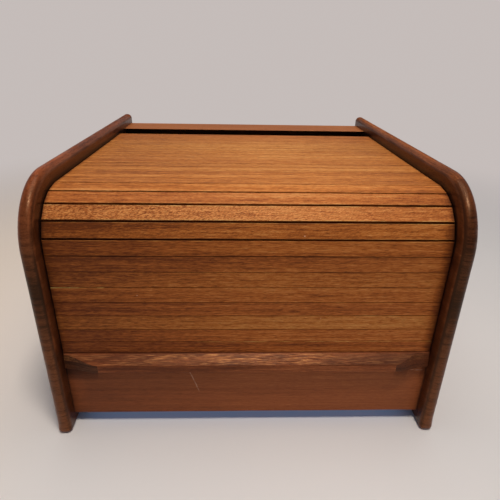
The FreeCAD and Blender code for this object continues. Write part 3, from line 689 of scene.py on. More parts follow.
def make_slat(i):
    w = SLAT_W[i - 1]
    a, b = path(JOINTS[i - 1]), path(JOINTS[i])
    ang = math.atan2(b[0] - a[0], b[1] - a[1])
    ca, sa = math.cos(ang), math.sin(ang)
    tone, red, curl = LOOK[i]
    xs = spread(-SLAT_SHOULDER, SLAT_SHOULDER, 2.8)
    tip = [(SLAT_SHOULDER - 0.45, SLAT_T), (SLAT_SHOULDER - 0.15, SLAT_T - 0.10), (SLAT_SHOULDER, SLAT_T - 0.40),
           (SLAT_SHOULDER + 0.02, TONGUE_T), (SLAT_SHOULDER + 2.6, TONGUE_T), (SLAT_LENGTH / 2, TONGUE_T)]
    xs = [-x for x, _ in reversed(tip)] + xs[1:-1] + [x for x, _ in tip]
    (gap1, ease1, dirt1), (gap2, ease2, dirt2) = joint_look(i), joint_look(i + 1)
    loops, dirt_and_shade = [], []
    for x in xs:
        r1 = ease1 * (1 + 0.35 * hum(x / 23, i, 1)) + 0.8 * max(0.0, hum(x / 7.3, i, 2) - 0.55)
        r2 = ease2 * (1 + 0.35 * hum(x / 23, i, 3)) + 0.8 * max(0.0, hum(x / 7.3, i, 4) - 0.55)
        g1 = gap1 + 0.07 * max(0.0, hum(x / 60, i, 5))
        g2 = gap2 + 0.07 * max(0.0, hum(x / 60, i, 6))
        lift = [0.02 + 0.02 * hum(x / 18, i, 10 + k) for k in range(5)]
        # full thickness to the shoulders, thinner tongues beyond
        deep = SLAT_T + 0.1
        for xa, ta in tip[1:]:
            if abs(x) >= xa - 1e-6:
                deep = ta
        loops.append([(max(d, -deep), u) for d, u in slat_loop(w, r1, r2, g1, g2, lift)])
        # painted shadow: each slat darkens over its last few millimetres, where it runs into the groove
        ends = max(0.0, 1.0 - (SLAT_SHOULDER - abs(x)) / 2.6)
        low, high = dirt1 * (0.85 + 0.7 * hum(x / 37, i, 7)), dirt2 * (0.85 + 0.7 * hum(x / 37, i, 8))
        # cleaner towards the right on the first slats of the top
        clean = 1.0 - 0.7 * max(0.0, min(1.0, (x + 30) / 130))
        low, high = low * (clean if i in (12, 13) else 1.0), high * (clean if i in (11, 12) else 1.0)
        n = len(GRIME_AT)
        dirt_and_shade.append([max(0.0, min(1.0, g * (low if j < n / 2 else high) + 0.9 * min(1.0, ends) ** 1.5)) for j, g in enumerate(GRIME_AT)])
    verts, faces = sweep(loops, xs)
    face_mats = [0] * len(faces)
    wood = len(verts)
    # its strip of the backing, a little wavy, glued flat to the inner face
    cx = spread(-CANVAS_HALF, CANVAS_HALF, 4.0)
    c_loops = []
    for x in cx:
        th = CANVAS_T - 0.09 + 0.08 * hum(x / 9, i, 20)
        lo, hi = CANVAS_CUT + 0.05 + 0.05 * hum(x / 6, i, 21), w - CANVAS_CUT - 0.05 - 0.05 * hum(x / 6, i, 22)
        c_loops.append([(0.0, lo), (th * 0.75, lo), (th, lo + 0.5), (th + 0.03 * hum(x / 5, i, 23), w / 2), (th, hi - 0.5), (th * 0.75, hi), (0.0, hi)])
    cv, cf = sweep(c_loops, cx)
    faces = outward(verts, faces) + [tuple(v + wood for v in f) for f in outward(cv, cf)]
    face_mats += [1] * len(cf)
    local = verts + cv
    off = seed_offset(i)
    along = [Vector((v.x * MM, v.z * MM, v.y * MM)) + off for v in local]
    world = []
    for v in local:
        d, u = v.y, v.z
        world.append(Vector((v.x, a[0] + d * ca + u * sa, a[1] - d * sa + u * ca)) * MM)
    o = make_object("shutter_slat_%02d" % i, world, faces, [MAT_SLAT, MAT_CANVAS], face_mats)
    add_vectors(o.data, "wood", along)
    # the bend and the top run are paler: sun-fading, and painted light for the brighter light on top
    fade_and_light = 0.0 if i <= 9 else 0.24 if i <= 11 else 1.0
    tints, wears = [], []
    per = len(GRIME_AT)
    for k, v in enumerate(local):
        if k < wood:
            row = k % per
            # painted shade: darker towards the left end, and a little at the right end of the top
            left = max(0.0, min(1.0, (20 - v.x) / 150))
            right = max(0.0, min(1.0, (v.x - 60) / 110))
            if i <= 9:
                # painted shadow of the right panel at the very right end, a little at the left end; slightly lighter
                # to the right
                shade = 0.30 * left ** 1.2 - 0.06 * right + 0.60 * max(0.0, min(1.0, (v.x - 153) / 9)) ** 1.2 + 0.12 * max(0.0, min(1.0, (-v.x - 150) / 12))
            elif i <= 11:
                shade = 0.19 * left + 0.30 * right + 0.20 * max(0.0, min(1.0, (v.x - 156) / 6))
            else:
                shade = 0.13 * left + 0.15 * right
            rub_and_glint = 0.0
            for slat, edge, x0, x1, much in RUBBED_AND_LIT_EDGES:
                if slat == i and row in ((11, 12, 13) if edge == "high" else (3, 4, 5)) and x0 < v.x < x1:
                    rub_and_glint = much * max(0.0, min(1.0, 0.75 + 0.9 * hum(v.x / 13, i, 40)))
            tints.append((tone - shade + 0.35 * rub_and_glint, red - 1.2 * rub_and_glint, dirt_and_shade[k // per][row] * (1 - rub_and_glint)))
            figure = curl * (1.0 if i != 10 else max(0.35, min(1.0, 0.75 - v.x / 260)))
            # painted sheen on the right half of slat 9
            if i == 9:
                rub_and_glint += 0.45 * right * max(0.0, 0.7 + 0.6 * hum(v.x / 9, 9, 41))
            wears.append((1.0 if abs(v.x) > SLAT_SHOULDER - 0.01 else 0.0, figure, min(1.6, fade_and_light + rub_and_glint)))
        else:
            tints.append((tone, red, 0.0))
            wears.append((0.0, curl, fade_and_light))
    add_vectors(o.data, "tint", tints)
    add_vectors(o.data, "wear", wears)
    settle(o)
    body = "slat_%02d" % i if i <= 12 or i >= 22 else "top_run_slats"
    place(o, body, ["slat_%02d" % i])
    return o


for _i in range(1, len(SLAT_W) + 1):
    make_slat(_i)


# ---- pieces swept along X -----------------------------------------------------------------
def swept_piece(name, loops, xs, mat, body, nodes, seed, axes="XZY", tint=None, wear=None, extra=None, angle=32.0):
    verts, faces = sweep(loops, xs)
    faces = outward(verts, faces)
    mats, face_mats = [mat], [0] * len(faces)
    if extra is not None:
        ev, ef, em = extra
        base = len(verts)
        faces += [tuple(v + base for v in f) for f in outward(ev, ef)]
        face_mats += [1] * len(ef)
        verts = verts + ev
        mats.append(em)
    o = make_object(name, [v * MM for v in verts], faces, mats, face_mats)
    off = seed_offset(seed)
    pick = {"X": 0, "Y": 1, "Z": 2}
    add_vectors(o.data, "wood", [Vector([v[pick[c]] * MM for c in axes]) + off for v in verts])
    add_vectors(o.data, "tint", [tint(v) if tint else (0.0, 0.0, 0.0) for v in verts])
    lo, hi = min(xs), max(xs)
    add_vectors(o.data, "wear", [wear(v) if wear else (1.0 if min(abs(v.x - lo), abs(v.x - hi)) < 0.01 and axes[0] == "X" else 0.0, 0.0, 0.0) for v in verts])
    settle(o, angle)
    place(o, body, nodes)
    return o


def near(v, at, reach):
    return max(0.0, 1.0 - abs(v - at) / reach)


# base rail
yb0, yb1 = Y0 + SLAT_SET_BACK, Y0 + SLAT_SET_BACK + BASE_T
_xs = spread(-INNER, INNER, 3.0)
_loops = []
for x in _xs:
    ra, rb = 0.9 + 0.3 * hum(x / 30, 101, 1), 0.9 + 0.3 * hum(x / 30, 101, 2) + 1.2 * max(0.0, hum(x / 8, 101, 3) - 0.55)
    za, zb = BOTTOM_Z - HOUSING_PLAY, BOTTOM_Z + BOTTOM_T + HOUSING_PLAY
    _loops.append(rounded(
        [(yb0, BASE_BOTTOM), (yb0 + 0.03 + 0.03 * hum(x / 50, 101, 4), 30.0), (yb0 + 0.03 + 0.03 * hum(x / 50, 101, 5), 50.0), (yb0, BASE_TOP),
         (yb1, BASE_TOP), (yb1, zb), (yb1 - HOUSING, zb), (yb1 - HOUSING, za), (yb1, za), (yb1, BASE_BOTTOM)],
        [rb, 0, 0, ra, 0.4, 0, 0, 0, 0, 0.3]))
# Painted shade: darker towards the left, and a near-black line along the top edge under the lip's ends. Also darker
# near the side panels and along the bottom edge.
swept_piece("base_board", _loops, _xs, MAT_RAIL, "carcass", ["base_rail"], 101,
            tint=lambda v: (-0.02 - 0.20 * max(0.0, min(1.0, (10 - v.x) / 150)) - (0.9 if v.x < -136 or 136 < v.x < 148 or v.x > 160 else 0.0) * near(v.z, BASE_TOP, 1.6), 0.15,
                            min(1.0, 0.5 * near(abs(v.x), INNER, 6.0) + (1.0 if abs(v.x) > 138 else 0.5) * near(v.z, BASE_TOP, 3.0) + 0.25 * near(v.z, BASE_BOTTOM, 2.0))))

# rear top rail, hollow beneath
_c = TOP_RAIL_COVE_R
_slope = math.tan(math.radians(TOP_RAIL_UNDERCUT))
_u0, _v0 = TOP_RAIL_FRONT - REAR_BEND_Y, TOP_RAIL_TOP - TOP_RAIL_NOSE - BEND_Z
_k = _v0 + _slope * _u0
_u = (_slope * _k + math.sqrt(_c * _c * (1 + _slope * _slope) - _k * _k)) / (1 + _slope * _slope)
_dz = TOP_RAIL_BOTTOM - BEND_Z
_a0, _a1 = math.atan2(_k - _slope * _u, _u), math.atan2(_dz, math.sqrt(_c * _c - _dz * _dz))
yf, yr = Y0 + TOP_RAIL_FRONT, Y0 + TOP_RAIL_BACK
_loops = []
for x in _xs:
    ra, rb = 0.55 + 0.15 * hum(x / 27, 102, 1), 0.95 + 0.3 * hum(x / 27, 102, 2)
    cove = [(BEND_Y2 + _c * math.cos(_a1 + (_a0 - _a1) * k / 14), BEND_Z + _c * math.sin(_a1 + (_a0 - _a1) * k / 14)) for k in range(15)]
    nose = TOP_RAIL_TOP - TOP_RAIL_NOSE + 0.08 * hum(x / 21, 102, 5)
    pts = [(yf, TOP_RAIL_TOP), (yf + 3.5, TOP_RAIL_TOP - 0.01), (yf + 20, TOP_RAIL_TOP - 0.02 + 0.02 * hum(x / 40, 102, 3)), (yf + 38, TOP_RAIL_TOP - 0.02 + 0.02 * hum(x / 40, 102, 4)),
           (yr, TOP_RAIL_TOP), (yr, BACK_TOP + HOUSING_PLAY), (yr - BACK_T, BACK_TOP + HOUSING_PLAY), (yr - BACK_T, TOP_RAIL_BOTTOM)]
    _loops.append(rounded(pts + cove + [(yf, nose)], [ra, 0, 0, 0, rb, 0.2, 0, 0] + [0] * 15 + [0.45]))
# Painted shade: the nose and the hollow underside are made dark, and the front arris of the top is painted paler, as a
# highlight.
swept_piece("rear_cap_rail", _loops, _xs, MAT_RAIL, "carcass", ["rear_top_rail"], 102, axes="XYZ",
            tint=lambda v: (0.14 if v.z > TOP_RAIL_TOP - 0.06 or (v.z > TOP_RAIL_TOP - 0.6 and v.y < yf + 4) else 0.0 if v.y > yr - 1.6 else -0.45, -0.20,
                            1.0 if v.z < TOP_RAIL_TOP - 0.9 and v.y < yr - BACK_T - 2 else 0.6 * near(abs(v.x), INNER, 5.0)),
            wear=lambda v: (0.0, 0.0, 0.5 if v.y < yf + 0.9 and v.z > TOP_RAIL_TOP - 0.7 else 0.0))

# lift rail: slab with a sloping lip whose ends are cut away in plan
yo = Y0 + SLAT_SET_BACK
z0, z1 = LIFT_BOTTOM, LIFT_HINGE - SLAT_GAP / 2


def between(x, table):
    for (xa, a_), (xb, b_) in zip(table, table[1:]):
        if x <= xb:
            return a_ + (b_ - a_) * max(0.0, x - xa) / (xb - xa)
    return table[-1][1]


# how far the lip stands out near its ends, low down and at the top of its bevel, hand-cut and not alike
LIP_LOW = [(135.0, LIP_OUT), (137.5, 8.9), (140.0, 8.1), (145.0, 6.3), (151.0, 4.5), (LIP_END_OUTER, LIP_END_REACH)]
LIP_HIGH = {-1: [(131.5, LIP_OUT), (135.0, 8.9), (141.0, 7.2), (148.0, 4.6), (156.0, 1.7), (LIP_END_OUTER, 0.35)],
            1: [(130.5, LIP_OUT), (133.0, 8.9), (138.0, 6.9), (144.0, 3.6), (150.5, 0.3), (LIP_END_OUTER, 0.25)]}

_xs2 = sorted(set(spread(-SLAT_LENGTH / 2, -LIP_END_OUTER - 0.04, 2.0) + spread(-LIP_END_OUTER, -128.0, 0.9) + spread(-128.0, 128.0, 2.4)
                  + spread(128.0, LIP_END_OUTER, 0.9) + spread(LIP_END_OUTER + 0.04, SLAT_LENGTH / 2, 2.0)))
_loops = []
for x in _xs2:
    side = -1 if x < 0 else 1
    slope = (LIP_TOP - (z0 + LIP_FACE_H)) / LIP_OUT
    dip = 0.05 + 0.05 * hum(x / 22, 103, 1)
    if abs(x) > LIP_END_OUTER + 0.01:
        low, high = 0.02, 0.01
        f = 0.0
    else:
        low, high = between(abs(x), LIP_LOW), between(abs(x), LIP_HIGH[side])
        f = high / LIP_OUT
    rn = (1.0 + 0.25 * hum(x / 19, 103, 2) + 1.1 * max(0.0, hum(x / 6.5, 103, 3) - 0.5)) * max(0.05, f)
    rl = (0.6 + 0.2 * hum(x / 16, 103, 4) + 0.9 * max(0.0, hum(x / 5.5, 103, 5) - 0.5)) * max(0.1, low / LIP_OUT)
    face = yo
    if abs(x) > LIP_END_OUTER + 0.01:
        face = yo + SLAT_T - TONGUE_T
    pts = [(yo + SLAT_T, z0), (face - low + dip * f, z0), (face - high + dip * f, LIP_TOP - slope * high), (face - high * 0.5, LIP_TOP - slope * high * 0.5 - dip * f),
           (face, LIP_TOP), (face, z1), (yo + SLAT_T, z1)]
    _loops.append(rounded(pts, [0.4, rl, rn, 0, 0.0, 0.35, 0.0]))
_cx = spread(-CANVAS_HALF, CANVAS_HALF, 4.0)
_cl = []
for x in _cx:
    th = CANVAS_T - 0.09 + 0.08 * hum(x / 9, 104, 20)
    lo, hi = z0 + 1.55, LIFT_HINGE - CANVAS_CUT - 0.05
    _cl.append([(yo + SLAT_T, lo), (yo + SLAT_T + th * 0.75, lo), (yo + SLAT_T + th, lo + 0.5), (yo + SLAT_T + th, (lo + hi) / 2), (yo + SLAT_T + th, hi - 0.5), (yo + SLAT_T + th * 0.75, hi), (yo + SLAT_T, hi)])
_cv, _cf = sweep(_cl, _cx)


def facet(v):
    """On the slanting cut at either end of the lip."""
    edge = between(abs(v.x), LIP_HIGH[-1 if v.x < 0 else 1])
    return abs(v.x) > (131.2 if v.x < 0 else 130.2) and v.y < yo - 0.1 and v.z < LIP_TOP - 0.667 * edge + 0.05


def lip_tint(v):
    corner = LIP_TOP - 0.667 * between(abs(v.x), LIP_HIGH[-1 if v.x < 0 else 1])
    bevel = facet(v)
    top = v.y < yo - 0.3 and v.z > corner - 0.5 and not bevel
    arris = near(v.z, z0 + LIP_FACE_H, 1.5) if v.y < yo - LIP_OUT + 1.6 else 0.0
    # painted shade: darker towards the left, and on the top darker towards the right
    shade = 0.10 * max(0.0, min(1.0, (20 - v.x) / 150)) + (0.50 if top else 0.0) * max(0.0, min(1.0, (v.x - 30) / 100))
    tone = (-0.19 if top else -0.20) - shade
    if bevel:
        return (0.16, 0.3, 0.2) if v.x > 0 else (-0.12, 0.0, 0.3)
    g = 0.75 * near(v.z, z1, 0.9) + 0.5 * near(v.z, z0, 1.2) + 0.45 * near(abs(v.x), INNER, 5.0) + 0.45 * arris
    return tone, 0.2, min(1.0, g)


swept_piece("lift_bar", _loops, _xs2, MAT_LIFT, "lift_rail", ["lift_rail"], 103, tint=lip_tint,
            wear=lambda v: (1.0 if facet(v) else 0.0, 0.15,
                            0.10 if v.y < yo - 1 and v.z > z0 + LIP_FACE_H + 0.5 else 0.0),
            extra=(_cv, _cf, MAT_CANVAS), angle=28.0)


# ---- boards ------------------------------------------------------------------------------
def slab_loops(y0, y1, z0_, z1_, r, xs, seed, grain_divide):
    out = []
    for x in xs:
        k = 0.03 * hum(x / 45, seed, 1)
        if grain_divide == "z":
            pts = [(y0, z0_), (y0, (z0_ + z1_) / 2), (y0, z1_), (y1, z1_), (y1, (z0_ + z1_) / 2), (y1, z0_)]
        else:
            pts = [(y0, z0_), (y0, z1_), ((y0 + y1) / 2, z1_), (y1, z1_), (y1, z0_), ((y0 + y1) / 2, z0_)]
        radii = [r + k if p in (pts[0], pts[2 if grain_divide == "z" else 1], pts[3], pts[5 if grain_divide == "z" else 4]) else 0 for p in pts]
        out.append(rounded(pts, radii, 3))
    return out


hx = INNER + HOUSING - 0.3
yface = Y0 + BACK_FACE
_bx = spread(-hx, hx, 12.0)
swept_piece("floor_board", slab_loops(yb1 - HOUSING + 0.3, yface - BACK_T, BOTTOM_Z, BOTTOM_Z + BOTTOM_T, 0.2, _bx, 105, "y"), _bx, MAT_VENEER,
            "carcass", ["bottom_panel"], 105, axes="XYZ",
            tint=lambda v: (0.02, 0.0, 0.6 * near(abs(v.x), INNER, 9.0) + 0.5 * near(v.y, yb1, 9.0) + 0.5 * near(v.y, Y0 + INNER_BACK_Y, 9.0)))
_lp = []
for x in _bx:
    yi = Y0 + INNER_BACK_Y
    _lp.append(rounded([(yi, BOTTOM_Z + BOTTOM_T), (yi, INNER_BACK_TOP), (yi + INNER_BACK_T, INNER_BACK_TOP), (yi + INNER_BACK_T, BOTTOM_Z + BOTTOM_T)], [0, 1.2, 1.2, 0]))
swept_piece("inner_back_board", _lp, _bx, MAT_VENEER, "carcass", ["inner_back_panel"], 106,
            tint=lambda v: (-0.03, 0.0, 0.6 * near(abs(v.x), INNER, 9.0) + 0.5 * near(v.z, BOTTOM_Z + BOTTOM_T, 10.0)))
_cleat_x = spread(-INNER, INNER, 12.0)
swept_piece("rear_batten", slab_loops(yface - BACK_T - CLEAT, yface - BACK_T, BOTTOM_Z + BOTTOM_T, BOTTOM_Z + BOTTOM_T + CLEAT, 0.5, _cleat_x, 107, "y"), _cleat_x,
            MAT_RAIL, "carcass", ["rear_cleat"], 107)


def from_cad(node, name, mat, body, seed, axes, tint, angle=32.0):
    """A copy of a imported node's mesh, joined up, with its wood coordinates."""
    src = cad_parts[node]
    bm = bmesh.new()
    bm.from_mesh(src.data)
    bmesh.ops.remove_doubles(bm, verts=bm.verts, dist=1e-6)
    bmesh.ops.dissolve_limit(bm, angle_limit=math.radians(0.05), verts=bm.verts, edges=bm.edges)
    mesh = bpy.data.meshes.new(name)
    bm.to_mesh(mesh)
    bm.free()
    for k in [a.name for a in mesh.attributes if a.name.startswith("custom_normal")]:
        mesh.attributes.remove(mesh.attributes[k])
    mesh.materials.clear()
    mesh.materials.append(mat)
    mesh.polygons.foreach_set("material_index", [0] * len(mesh.polygons))
    o = bpy.data.objects.new(name, mesh)
    bpy.context.scene.collection.objects.link(o)
    pts = [v.co * 1000 for v in mesh.vertices]
    off = seed_offset(seed)
    pick = {"X": 0, "Y": 1, "Z": 2}
    add_vectors(mesh, "wood", [Vector([v[pick[c]] * MM for c in axes]) + off for v in pts])
    add_vectors(mesh, "tint", [tint(v) for v in pts])
    add_vectors(mesh, "wear", [(0.0, 0.0, 0.0) for _ in pts])
    settle(o, angle)
    place(o, body, [node])
    return o


from_cad("back_panel", "back_board", MAT_VENEER, "carcass", 108, "XZY",
         lambda v: (-0.06, 0.0, 0.6 * near(abs(v.x), INNER, 10.0) + 0.4 * near(v.z, BACK_TOP, 6.0) + 0.3 * near(v.z, BASE_BOTTOM, 6.0)))


# ---- side panels -------------------------------------------------------------------------
def panel_outline():
    """Loop of (y, z, outward ny, nz, nose radius, step round the rear top corner), in mm."""
    R, Q, F = PANEL_FRONT_R, PANEL_REAR_EASE, 4.2
    y1 = Y0 + DEPTH
    out = []

    def run(p, q, n, step=2.6):
        k = max(1, round(math.dist(p, q) / step))
        for i in range(k):
            f = i / k
            out.append((p[0] + (q[0] - p[0]) * f, p[1] + (q[1] - p[1]) * f, n[0], n[1]))

    def bend(c, r, a0, a1, k):
        for i in range(k):
            a = math.radians(a0 + (a1 - a0) * i / k)
            out.append((c[0] + r * math.cos(a), c[1] + r * math.sin(a), math.cos(a), math.sin(a)))

    bend((Y0 + F, F), F, 270, 180, 8)
    run((Y0, F), (Y0, HEIGHT - R), (-1, 0))
    bend((Y0 + R, HEIGHT - R), R, 180, 90, 44)
    run((Y0 + R, HEIGHT), (y1 - Q, HEIGHT), (0, 1), 3.2)
    out += [(y1, HEIGHT, k / 12, None) for k in range(12)]
    run((y1, HEIGHT - PANEL_NOSE), (y1, F), (1, 0), 3.2)
    bend((y1 - F, F), F, 0, -90, 8)
    run((y1 - F, 0), (Y0 + F, 0), (0, -1), 5.0)
    full = []
    for y, z, ny, nz in out:
        if nz is None:
            full.append((y, z, 0.0, 0.0, PANEL_NOSE, ny))
            continue
        up = max(0.0, min(1.0, (z - 0.5) / 14.0))
        high = PANEL_REAR_EASE if ny > 0.5 else PANEL_NOSE
        rr = PANEL_FOOT_R + (high - PANEL_FOOT_R) * up * up * (3 - 2 * up)
        full.append((y, z, ny, nz, rr, None))
    return full


def rear_corner(th, s):
    """Where the rounded top edge runs out on the square rear face: depth from the side, y and z."""
    psi = th * min(1.0, s / 0.25)
    phi = th * (1 - max(0.0, (s - 0.25) / 0.75))
    c = PANEL_NOSE - PANEL_REAR_EASE * (1 - math.cos(psi))
    return PANEL_NOSE - c * math.cos(phi), Y0 + DEPTH - PANEL_REAR_EASE * (1 - math.sin(psi)), HEIGHT - PANEL_NOSE + c * math.sin(phi)


# small dents in the rounded edge: side, place on the outline (y, z), x, radius, depth
DENTS = [
    (1, (-170.5, 211.0), 171.5, 2.6, 0.55), (1, (-174.0, 201.5), 172.0, 2.2, 0.50), (1, (-177.5, 192.0), 172.5, 1.8, 0.35),
    (1, (-90.0, 236.0), 170.5, 2.4, 0.30), (-1, (-150.0, 229.0), -171.0, 2.5, 0.30), (-1, (60.0, 236.0), -170.5, 3.0, 0.30),
    (1, (120.0, 236.0), 171.0, 2.6, 0.30), (-1, (-179.5, 44.0), -170.0, 2.2, 0.30),
]


def panel(side):
    outline = panel_outline()
    n = len(outline)
    K = 8
    rings = []
    for half in (0, 1):
        for k in range(K + 1):
            th = math.pi / 2 * (k / K if half == 0 else 1 - k / K)
            rings.append((half, th))
    verts, faces = [], []
    seed = 201 if side < 0 else 202
    for half, th in rings:
        for i, (y, z, ny, nz, rr, s) in enumerate(outline):
            if s is not None:
                depth, y, z = rear_corner(th, s)
                verts.append(Vector((side * (HALF - 0.004 - depth if half == 0 else INNER + depth), y - 0.004, z - 0.004)))
                continue
            inset = rr * (1 - math.sin(th))
            depth = rr * (1 - math.cos(th))
            wave = (0.05 + 0.05 * noise.noise(Vector((y / 34, z / 34, seed)))) * math.sin(th) if z > 6 else 0.0
            wave *= min(1.0, math.dist((y, z), (Y0 + DEPTH, HEIGHT - 3)) / 30)
            x = HALF - 0.004 - depth if half == 0 else INNER + depth
            p = Vector((side * x, y - ny * (inset + wave), z - nz * (inset + wave)))
            for ds, (dy, dz), dx, dr, dd in DENTS:
                if ds == side:
                    d = math.sqrt((p.x - dx) ** 2 + (p.y - dy) ** 2 + (p.z - dz) ** 2)
                    if d < dr * 1.6:
                        f = math.cos(min(1.0, d / (dr * 1.6)) * math.pi / 2) ** 2 * dd
                        nx = math.cos(th) * (1 if half == 0 else -1) * side
                        p -= Vector((nx, ny * math.sin(th), nz * math.sin(th))) * f
            verts.append(p)
    R = len(rings)
    for r in range(R - 1):
        for i in range(n):
            j = (i + 1) % n
            faces.append((r * n + i, r * n + j, (r + 1) * n + j, (r + 1) * n + i))
    faces.append(tuple(range(n)))
    faces.append(tuple(range((R - 1) * n, R * n)))
    verts, faces = joined(verts, faces)
    faces = outward(verts, faces)
    o = make_object("side_board_left" if side < 0 else "side_board_right", [v * MM for v in verts], faces, [MAT_PANEL])

    cutters = []

    def cutter(name, outline2, x0, x1):
        m = len(outline2)
        vs = [Vector((x, y, z)) * MM for x in (x0, x1) for y, z in outline2]
        fs = [tuple(range(m)), tuple(range(m, 2 * m))] + [(i, (i + 1) % m, m + (i + 1) % m, m + i) for i in range(m)]
        c = make_object(name, vs, outward(vs, fs), [MAT_PANEL])
        cutters.append(c)
        b = o.modifiers.new(name, "BOOLEAN")
        b.operation, b.solver, b.object = "DIFFERENCE", "EXACT", c

    def bow(cy, cz, r, a0, a1, k=26):
        return [(cy + r * math.cos(math.radians(a0 + (a1 - a0) * i / k)), cz + r * math.sin(math.radians(a0 + (a1 - a0) * i / k))) for i in range(k + 1)]

    free = TONGUE_T + GROOVE_OUT
    ro, ri = HINGE_R + free, HINGE_R - GROOVE_IN
    fo, fi = FRONT_Y - free, FRONT_Y + GROOVE_IN
    bo, bi = REAR_Y + free, REAR_Y - GROOVE_IN
    band = [(fo, GROOVE_FRONT_END)] + bow(BEND_Y1, BEND_Z, ro, 180, 90) + bow(BEND_Y2, BEND_Z, ro, 90, 0) + [(bo, GROOVE_REAR_END), (bi, GROOVE_REAR_END)]
    band += bow(BEND_Y2, BEND_Z, ri, 0, 90) + bow(BEND_Y1, BEND_Z, ri, 90, 180) + [(fi, GROOVE_FRONT_END)]
    x0, x1 = side * (INNER - 1), side * (INNER + GROOVE_DEPTH)
    cutter("cut_band%d" % seed, band, x0, x1)
    x1 = side * (INNER + HOUSING)
    p = HOUSING_PLAY
    for k, (ya, yb, za, zb) in enumerate([
        (yb1, yface, BOTTOM_Z - p, BOTTOM_Z + BOTTOM_T + p),
        (yface - BACK_T - p, yface + p, BASE_BOTTOM - p, BACK_TOP + p),
        (Y0 + INNER_BACK_Y - p, Y0 + INNER_BACK_Y + INNER_BACK_T + p, BOTTOM_Z + BOTTOM_T, INNER_BACK_TOP + p),
    ]):
        cutter("cut_%d_%d" % (seed, k), [(ya, za), (yb, za), (yb, zb), (ya, zb)], x0, x1)
    bake_modifiers(o)
    for c in cutters:
        mesh = c.data
        bpy.data.objects.remove(c)
        bpy.data.meshes.remove(mesh)
    mesh = o.data
    off = seed_offset(seed)
    pts = [v.co * 1000 for v in mesh.vertices]
    nrm = [v.normal.copy() for v in mesh.vertices]
    add_vectors(mesh, "wood", [Vector((v.y, v.z, v.x)) * MM + off for v in pts])
    tints, wears = [], []
    for v, nn in zip(pts, nrm):
        flat_in = abs(v.x) < INNER + 0.05
        flat_out = abs(v.x) > HALF - 0.05 and nn.x * side > 0.9
        pit = INNER + 0.05 <= abs(v.x) < INNER + GROOVE_DEPTH + 0.2 and nn.x * side < -0.9 or abs(abs(v.x) - INNER - GROOVE_DEPTH) < 0.02
        lively = 0.10 * hum(v.y / 41 + v.z / 53, seed, 3) + 0.08 * hum(v.y / 13 - v.z / 17, seed, 4)
        tone, red, g, end, rubbed_and_lit = lively, 0.0, 0.0, 0.0, 0.0
        if flat_in:
            # painted shade: the face inside the rim is made darker
            tone, red, g = -0.38 + 0.4 * lively, 0.2, 0.15
            if v.y < Y0 + PANEL_FRONT_R and v.z > HEIGHT - PANEL_FRONT_R:
                inside = PANEL_FRONT_R - math.hypot(v.y - Y0 - PANEL_FRONT_R, v.z - HEIGHT + PANEL_FRONT_R)
            else:
                inside = min(v.y - Y0, HEIGHT - v.z)
            # painted shadow along the shutter, at the outer edge of the groove
            if inside < 10:
                g = 0.22 if side < 0 else 0.15
            elif inside < 16.2 and v.z > GROOVE_FRONT_END - 1:
                g = 1.15 if side < 0 else 0.5
        elif flat_out:
            # one even tone, so that the large flat face shows no seams between its triangles
            tone = 0.0
        elif pit:
            # painted shade inside the groove
            g = 0.9
        else:
            # lighter on the rim's upward faces, from rubbing and as painted light, more on the right panel; on the
            # left panel the top is also redder
            up = max(0.0, nn.z)
            rearward = 0.80 + 0.20 * max(0.0, min(1.0, (v.y + 120) / 200))
            rubbed_and_lit = min(1.2, (0.55 if side < 0 else 0.68) * rearward * up ** 1.5 * (1 + 0.5 * hum(v.y / 19, seed, 5)))
            if side < 0:
                red += 0.5 * up
            if nn.y < -0.1 and v.z > 0.5 and v.y < Y0 + 40:
                # front edge: end grain, darker high up where hands hold it
                end = min(1.0, -nn.y * 1.15) if v.z < HEIGHT - PANEL_FRONT_R else min(1.0, -nn.y * 1.15) ** 2
                tone += 0.38 - 0.68 * max(0.0, min(1.0, v.z / 175.0)) - 0.40 * math.exp(-((v.z - (150.0 if side < 0 else 138.0)) / 14.0) ** 2)
                # on the left panel the front of the bend is painted lighter, as a highlight
                if side < 0:
                    tone += 0.50 * max(0.0, min(1.0, (v.z - 160) / 25)) * (1 - 0.7 * max(0.0, min(1.0, (v.z - 206) / 20))) + 0.10 * math.exp(-((v.z - 88.0) / 22.0) ** 2)
            elif nn.y > 0.3 and v.y > Y0 + DEPTH - 9 and v.z > 0.5:
                end = nn.y
                tone -= 0.1
            if v.y > Y0 + DEPTH - 26 and v.z > HEIGHT - 12:
                rubbed_and_lit = max(rubbed_and_lit, 0.72 * min(1.0, (v.y - Y0 - DEPTH + 26) / 14))
            # painted shade: near the front the inner side of the nose is made dark, and elsewhere the rim's inner side
            # a little darker
            if v.y < Y0 + 40:
                inwards = max(0.0, min(1.0, (-nn.x * side - 0.55) / 0.35)) * max(0.0, min(1.0, (Y0 + 40 - v.y) / 26))
                tone -= 0.70 * inwards
                g = max(g, 0.60 * inwards)
            elif nn.x * side < -0.5:
                tone -= 0.12
        tints.append((tone, red, g))
        wears.append((end, 0.0, max(0.0, rubbed_and_lit)))
    add_vectors(mesh, "tint", tints)
    add_vectors(mesh, "wear", wears)
    settle(o, 34.0)
    place(o, "carcass", ["side_panel_left" if side < 0 else "side_panel_right"])
    return o


panel(-1)
panel(1)

# ---- carried-over nodes ---------------------------------------------------------------------
for _node, _mat in (("back_screws", MAT_BRASS), ("base_rail_dowels", MAT_BEECH), ("rear_top_rail_dowels", MAT_BEECH)):
    _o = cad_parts[_node]
    for _s in _o.material_slots:
        _s.material = _mat

